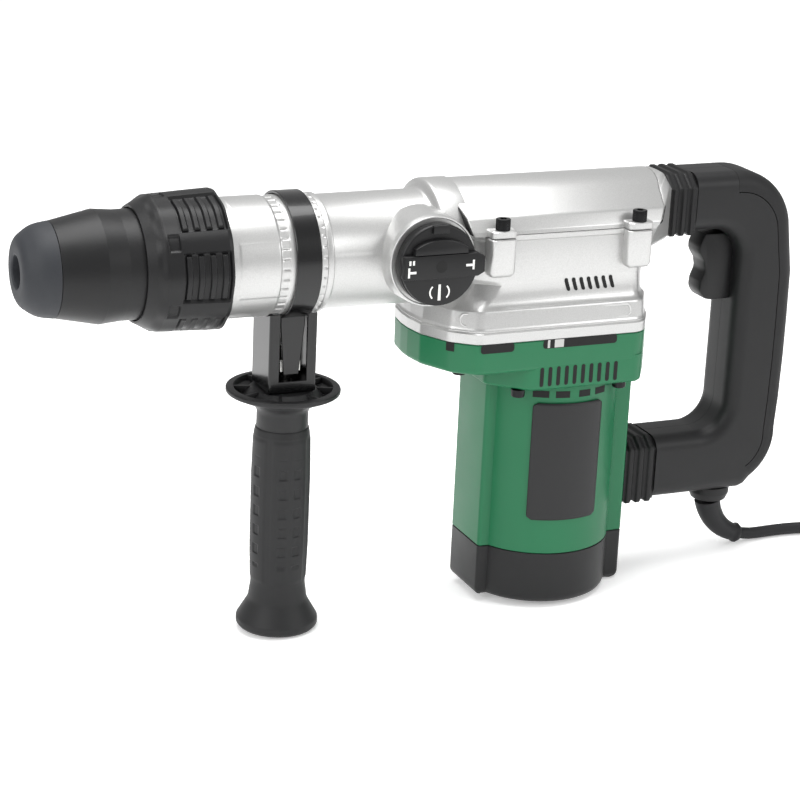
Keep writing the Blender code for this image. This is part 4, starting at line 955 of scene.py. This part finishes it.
motor_line = motor_plan()
motor_barrel = tapered(motor_line, ((0.0328, 0.0004), (0.0332, 0.0), (0.14, 0.0), (0.145, 0.0)))
box_line = plan(0.0491, -0.0936, 0.052)
motor_box = tapered(
    box_line,
    ((0.1515, 0.0022), (0.152, 0.0012), (0.153, 0.0003), (0.1545, 0.0), (0.1694, 0.0), (0.1698, 0.0004)),
)
collar_line = softened(
    (
        (-0.054, -0.029), (-0.033, -0.049), (0.039, -0.049), (0.0519, -0.0285), (0.0519, 0.0285),
        (0.039, 0.049), (-0.033, 0.049), (-0.054, 0.029),
    ),
    (0.006, 0.014, 0.008, 0.006, 0.006, 0.008, 0.014, 0.006),
    6,
    True,
)
collar_levels = ((0.1388, 0.0024), (0.1392, 0.0012), (0.1402, 0.0002), (0.1415, 0.0), (0.156, 0.0))
motor_collar = tapered(collar_line, collar_levels)
green_abs = textured("satin_green_abs", "146540", 0.4, 0.9, 0.06, 0.25, 0.05, Specular_IOR_Level=0.35)
add_piece(
    "green_motor_case", *together(motor_barrel, motor_box, motor_collar), green_abs, "housing", ("motor_housing",), 32
)
# The slots, the windows and the openings round the motor are flat near-black strips on the surface: painted shade.
slots = []
for side in (-1, 1):
    slot_xs = np.linspace(-0.0264, 0.0221, 10)
    slots += slot_strips(slot_xs, (0.1415, 0.1534), ((0.14, 0.16), (0.049, 0.049)), 0.00125, side)
windows, glints = [], []
window_low, window_high = 0.1648, 0.1703


def on_side(outline, y):
    """A flat outline in X and Z laid on an upright plane at y."""
    return np.c_[outline[:, 0], np.full(len(outline), y), outline[:, 1]], [list(range(len(outline)))]


for side in (-1, 1):
    for low_x, high_x in ((-0.0668, -0.0455), (-0.0269, 0.0215)):
        window = softened(rectangle(low_x, window_low, high_x, window_high), 0.0018, 4, True)
        windows.append(on_side(window, side * 0.04925))
    nose_part = box_line[(box_line[:, 0] > -0.0908) & (box_line[:, 0] < -0.0792) & (side * box_line[:, 1] > 0)]
    nose_part = resampled(nose_part[np.argsort(nose_part[:, 0])], 12) + (-0.0001, side * 0.0001)
    points = np.vstack([np.c_[nose_part, np.full(12, height)] for height in (window_low, window_high)])
    windows.append((points, grid_faces(2, 12, False, False)))
    for start, end in ((235.5, 248.0), (253.0, 264.0), (271.5, 281.5), (286.5, 297.5)):
        turn = np.radians(np.linspace(start, end, 8))
        around = np.c_[0.04513 * np.cos(turn), -side * 0.04513 * np.sin(turn)]
        points = np.vstack([np.c_[around, np.full(8, height)] for height in (0.1316, 0.1358)])
        windows.append((points, grid_faces(2, 8, False, False)))
    for low_x, high_x in ((-0.024, -0.0225), (-0.0195, -0.0135)):
        glints.append(on_side(rectangle(low_x, 0.1652, high_x, 0.17), side * 0.04932))
# Near-black strips that paint the shade of the cooling slots and windows.
add_piece("cooling_slot_shade", *together(*slots, *windows), painted_shade_opening, "housing")
# Flat bright metal patches laid on the long windows: a painted glint of the steel inside.
painted_glint_metal, _, _ = new_finish("painted_glint_of_inner_steel", "a9a9a7", 0.3, 1.0)
add_piece("window_glint_patches", *together(*glints), painted_glint_metal, "housing")

cap_nylon = textured("end_cap_black_nylon", "181819", 0.42, 0.8, 0.07, 0.3, 0.06, Specular_IOR_Level=0.3)
cap_levels = (
    (0.0, 0.0048), (0.0004, 0.003), (0.0014, 0.0014), (0.0032, 0.0003), (0.005, 0.0), (0.0321, 0.0), (0.0325, 0.0004)
)
add_piece(
    "motor_base_cap",
    *tapered(motor_line, cap_levels),
    cap_nylon,
    "housing",
    ("motor_end_cap",),
    32,
)

# Rating plate: blank, thin dark film with rounded corners that follows the motor's curve.
plate_v = np.linspace(-1, 1, 41)[:, None]
plate_u = np.linspace(-1, 1, 41)[None, :]
corner = 0.003
plate_half = np.array((0.0228, 0.0368))
edge = np.clip(np.abs(plate_v) * plate_half[1] - (plate_half[1] - corner), 0, corner)
plate_width = plate_half[0] - (corner - np.sqrt(np.maximum(corner**2 - edge**2, 0)))
plate_radius, plate_middle = 0.0456, 0.0915
plate_turn = np.radians(265) + plate_u * plate_width / plate_radius
plate_z = plate_middle + plate_v * plate_half[1] + 0 * plate_u
plate_points = np.stack([plate_radius * np.cos(plate_turn), plate_radius * np.sin(plate_turn), plate_z], axis=-1)
label_film = textured("blank_label_film", "212122", 0.45, 0.5, 0.03, 0.2, 0.03, Specular_IOR_Level=0.3)
plate_faces = grid_faces(41, 41, False, False)
label_piece = add_piece(
    "blank_label", plate_points.reshape(-1, 3), plate_faces, label_film, "housing", ("label_plate",)
)
thick = label_piece.modifiers.new("Film", "SOLIDIFY")
thick.thickness = 0.0005
thick.offset = 1.0

# Pan-head screws under the box and the collar.
screws = ((-0.07, 0.028, 0.1515), (0.03, 0.04, 0.1385), (-0.0368, 0.04, 0.1385))
for number, (x, y, top) in enumerate((x, side * y, top) for x, y, top in screws for side in (-1, 1)):
    low = top - 0.0046
    screw_profile = softened(((top, 0.0), (top, 0.0042), (low, 0.004), (low, 0.0)), (0, 0, 0.0008, 0))
    add_piece(
        f"case_screw_{number + 1}",
        *turned(screw_profile, 48, (x, y, 0.0), upright),
        black_oxide,
        "housing",
        (f"motor_screw_{number + 1}",) if number < 4 else (),
    )


# Rear handle. Two black nylon halves that meet on the middle plane, a softer cover pressed on their back, and folded
# rubber bellows where each arm meets the tool, so that the handle can give.
half_width = 0.0192
edge_round = 0.0095
handle_top = 0.2548


def back_line(inset):
    """The handle's outer edge from the top round its back to the underside, moved in by inset."""
    back = 0.1615 - inset
    return np.vstack(
        [
            ((0.115, handle_top - inset),),
            arc_line((0.117, 0.2148), 0.04 - inset, 90, 12, 22),
            ((back - 0.0006, 0.19), (back - 0.0001, 0.16), (back, 0.1365), (back - 0.0006, 0.108)),
            arc_line((0.125, 0.0845), 0.035 - inset, 6, -58, 22),
        ]
    )


def across_y(outline, free, guides, low_y, high_y):
    """A solid across the tool from low_y to high_y, its outline drawn in near each outer side to round the edges."""
    share = np.linspace(0, np.pi / 2, 10)
    depth = edge_round * (1 - np.sin(share))
    inset = edge_round * (1 - np.cos(share))
    levels = [(low_y, 0.0)] if low_y > -0.001 else [(low_y + d, i) for d, i in zip(depth[::-1], inset[::-1])]
    levels += [(high_y, 0.0)] if high_y < 0.001 else [(high_y - d, i) for d, i in zip(depth, inset)]
    rings = [np.c_[shrunk(outline, amount, free, guides), np.full(len(outline), y)] for y, amount in levels]
    return capped(np.stack(rings)[:, :, [0, 2, 1]])


seam = back_line(0.0122)
corner_low = (0.1437, 0.0548)
half_line = np.vstack(
    [
        ((0.0866, handle_top), (0.1148, handle_top)),
        seam,
        (corner_low, (0.14, 0.0507), (0.1355, 0.049), (0.0724, 0.049), (0.0724, 0.0895)),
        arc_line((0.103, 0.1075), 0.018, -90, 0, 14),
        arc_line((0.103, 0.201), 0.018, 0, 90, 14),
        ((0.0866, 0.219),),
    ]
)
free = np.ones(len(half_line))
free[2 : 2 + len(seam)] = 0.0
low_index = 2 + len(seam)
low_way = (seam[-1] - corner_low) / np.linalg.norm(seam[-1] - corner_low)
last = len(half_line) - 1
half_guides = {
    0: (0.0, -1.0),
    1: (0.0, -1.0),
    low_index: tuple(low_way),
    low_index + 3: (0.0, 1.0),
    low_index + 4: (0.0, -1.0),
    last: (0.0, 1.0),
}
nylon_handle = textured("handle_black_nylon", "171718", 0.46, 0.9, 0.09, 0.3, 0.05, Specular_IOR_Level=0.3)
for name, low_y, high_y in (("left", -half_width, -0.0001), ("right", 0.0001, half_width)):
    shapes = [across_y(half_line, free, half_guides, low_y, high_y)]
    nodes = [f"handle_half_{name}"]
    if name == "left":
        shapes.append(gland_collar)
        nodes.append("cable_gland")
    add_piece(f"handle_shell_{name}", *together(*shapes), nylon_handle, "rear_handle", nodes, 30)

outer = back_line(0.0)
inner = back_line(0.0117)[::-1]
cover_outline = np.vstack([outer, inner])
cover_free = np.r_[np.ones(len(outer)), np.zeros(len(inner))]
cover_end = len(outer) - 1
end_way = (inner[0] - outer[-1]) / np.linalg.norm(inner[0] - outer[-1])
cover_guides = {0: (0.0, -1.0), cover_end: tuple(end_way)}
soft_cover = textured("soft_touch_handle_cover", "151516", 0.55, 0.8, 0.06, 0.25, 0.05, Specular_IOR_Level=0.3)
add_piece(
    "handle_back_cover",
    *across_y(cover_outline, cover_free, cover_guides, -half_width, half_width),
    soft_cover,
    "rear_handle",
    ("handle_rear_cover",),
    30,
)

fold_rubber = textured("bellows_rubber", "121213", 0.5, 0.8, 0.08, 0.25, 0.04, Specular_IOR_Level=0.3)


def folded(low_x, high_x, base, folds, depth=0.0017):
    """A section carried along X, its size following a wave of folds."""
    x = np.linspace(low_x, high_x, folds * 12 + 1)
    wave = 0.5 - 0.5 * np.cos((x - low_x) / (high_x - low_x) * 2 * np.pi * folds)
    crest = step(wave, 0.15, 0.75)
    return along_x([(at, shrunk(base, depth * (1 - top))) for at, top in zip(x, crest)])


upper_shape = folded(0.0675, 0.0862, hooded(0.0208, 0.218, 0.248, 0.256, 0.0115), 3)
upper_folds = add_piece("upper_arm_bellows", *upper_shape, fold_rubber, "housing", ("upper_bellows",), 50)
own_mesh(upper_folds)
lower_shape = folded(0.0513, 0.0722, hooded(0.0198, 0.0482, 0.084, 0.0903, 0.0115), 3)
lower_folds = add_piece("lower_arm_bellows", *lower_shape, fold_rubber, "housing", ("lower_bellows",), 50)
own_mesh(lower_folds)

# Trigger. A black nylon key with a groove for each of two fingers, which slides into the grip.
trigger_front = softened(
    (
        (0.1085, 0.1727), (0.1035, 0.1738), (0.0998, 0.179), (0.1003, 0.185), (0.1028, 0.1915),
        (0.1016, 0.1975), (0.0978, 0.203), (0.0976, 0.2075), (0.0995, 0.212), (0.101, 0.215),
    ),
    0.006,
    6,
)
trigger_line = np.vstack([trigger_front, ((0.1276, 0.215), (0.1276, 0.1727))])
add_piece(
    "trigger_key",
    *slab(trigger_line, -0.0079, 0.0079, 0.0016, across_face),
    knob_nylon,
    "trigger_key",
    ("trigger",),
    35,
)


# Inner pieces. Ground steel, copper winding, commutator and carbon, which stay inside the castings and show only
# through the openings; each keeps its own shape with a metal or moulded finish.
ground_steel = textured("ground_bearing_steel", "b9b9b6", 0.28, 1.5, 0.03, 0.15, 0.06, 1.0)
winding = textured("enamelled_copper_winding", "a8633b", 0.4, 1.2, 0.25, 0.5, 0.05, 0.9)
carbon = textured("pressed_carbon", "232325", 0.6, 0.5, 0.05, 0.3, 0.05)
inner_nodes = {
    ground_steel: (
        "tool_holder locking_roller_top locking_roller_bottom ring_gear lock_spring front_bearing selector_shaft "
        "armature drive_gear crank_pin connecting_rod piston_pin piston striker impact_bolt cross_shaft clamp_bolt "
        "guide_rod lower_bearing upper_bearing"
    ),
    winding: "stator commutator",
    carbon: "carbon_brush_front carbon_brush_rear switch_body",
    black_nylon: "cooling_fan",
}
for mat, names in inner_nodes.items():
    for name in names.split():
        bpy.data.objects[name].material_slots[0].material = mat
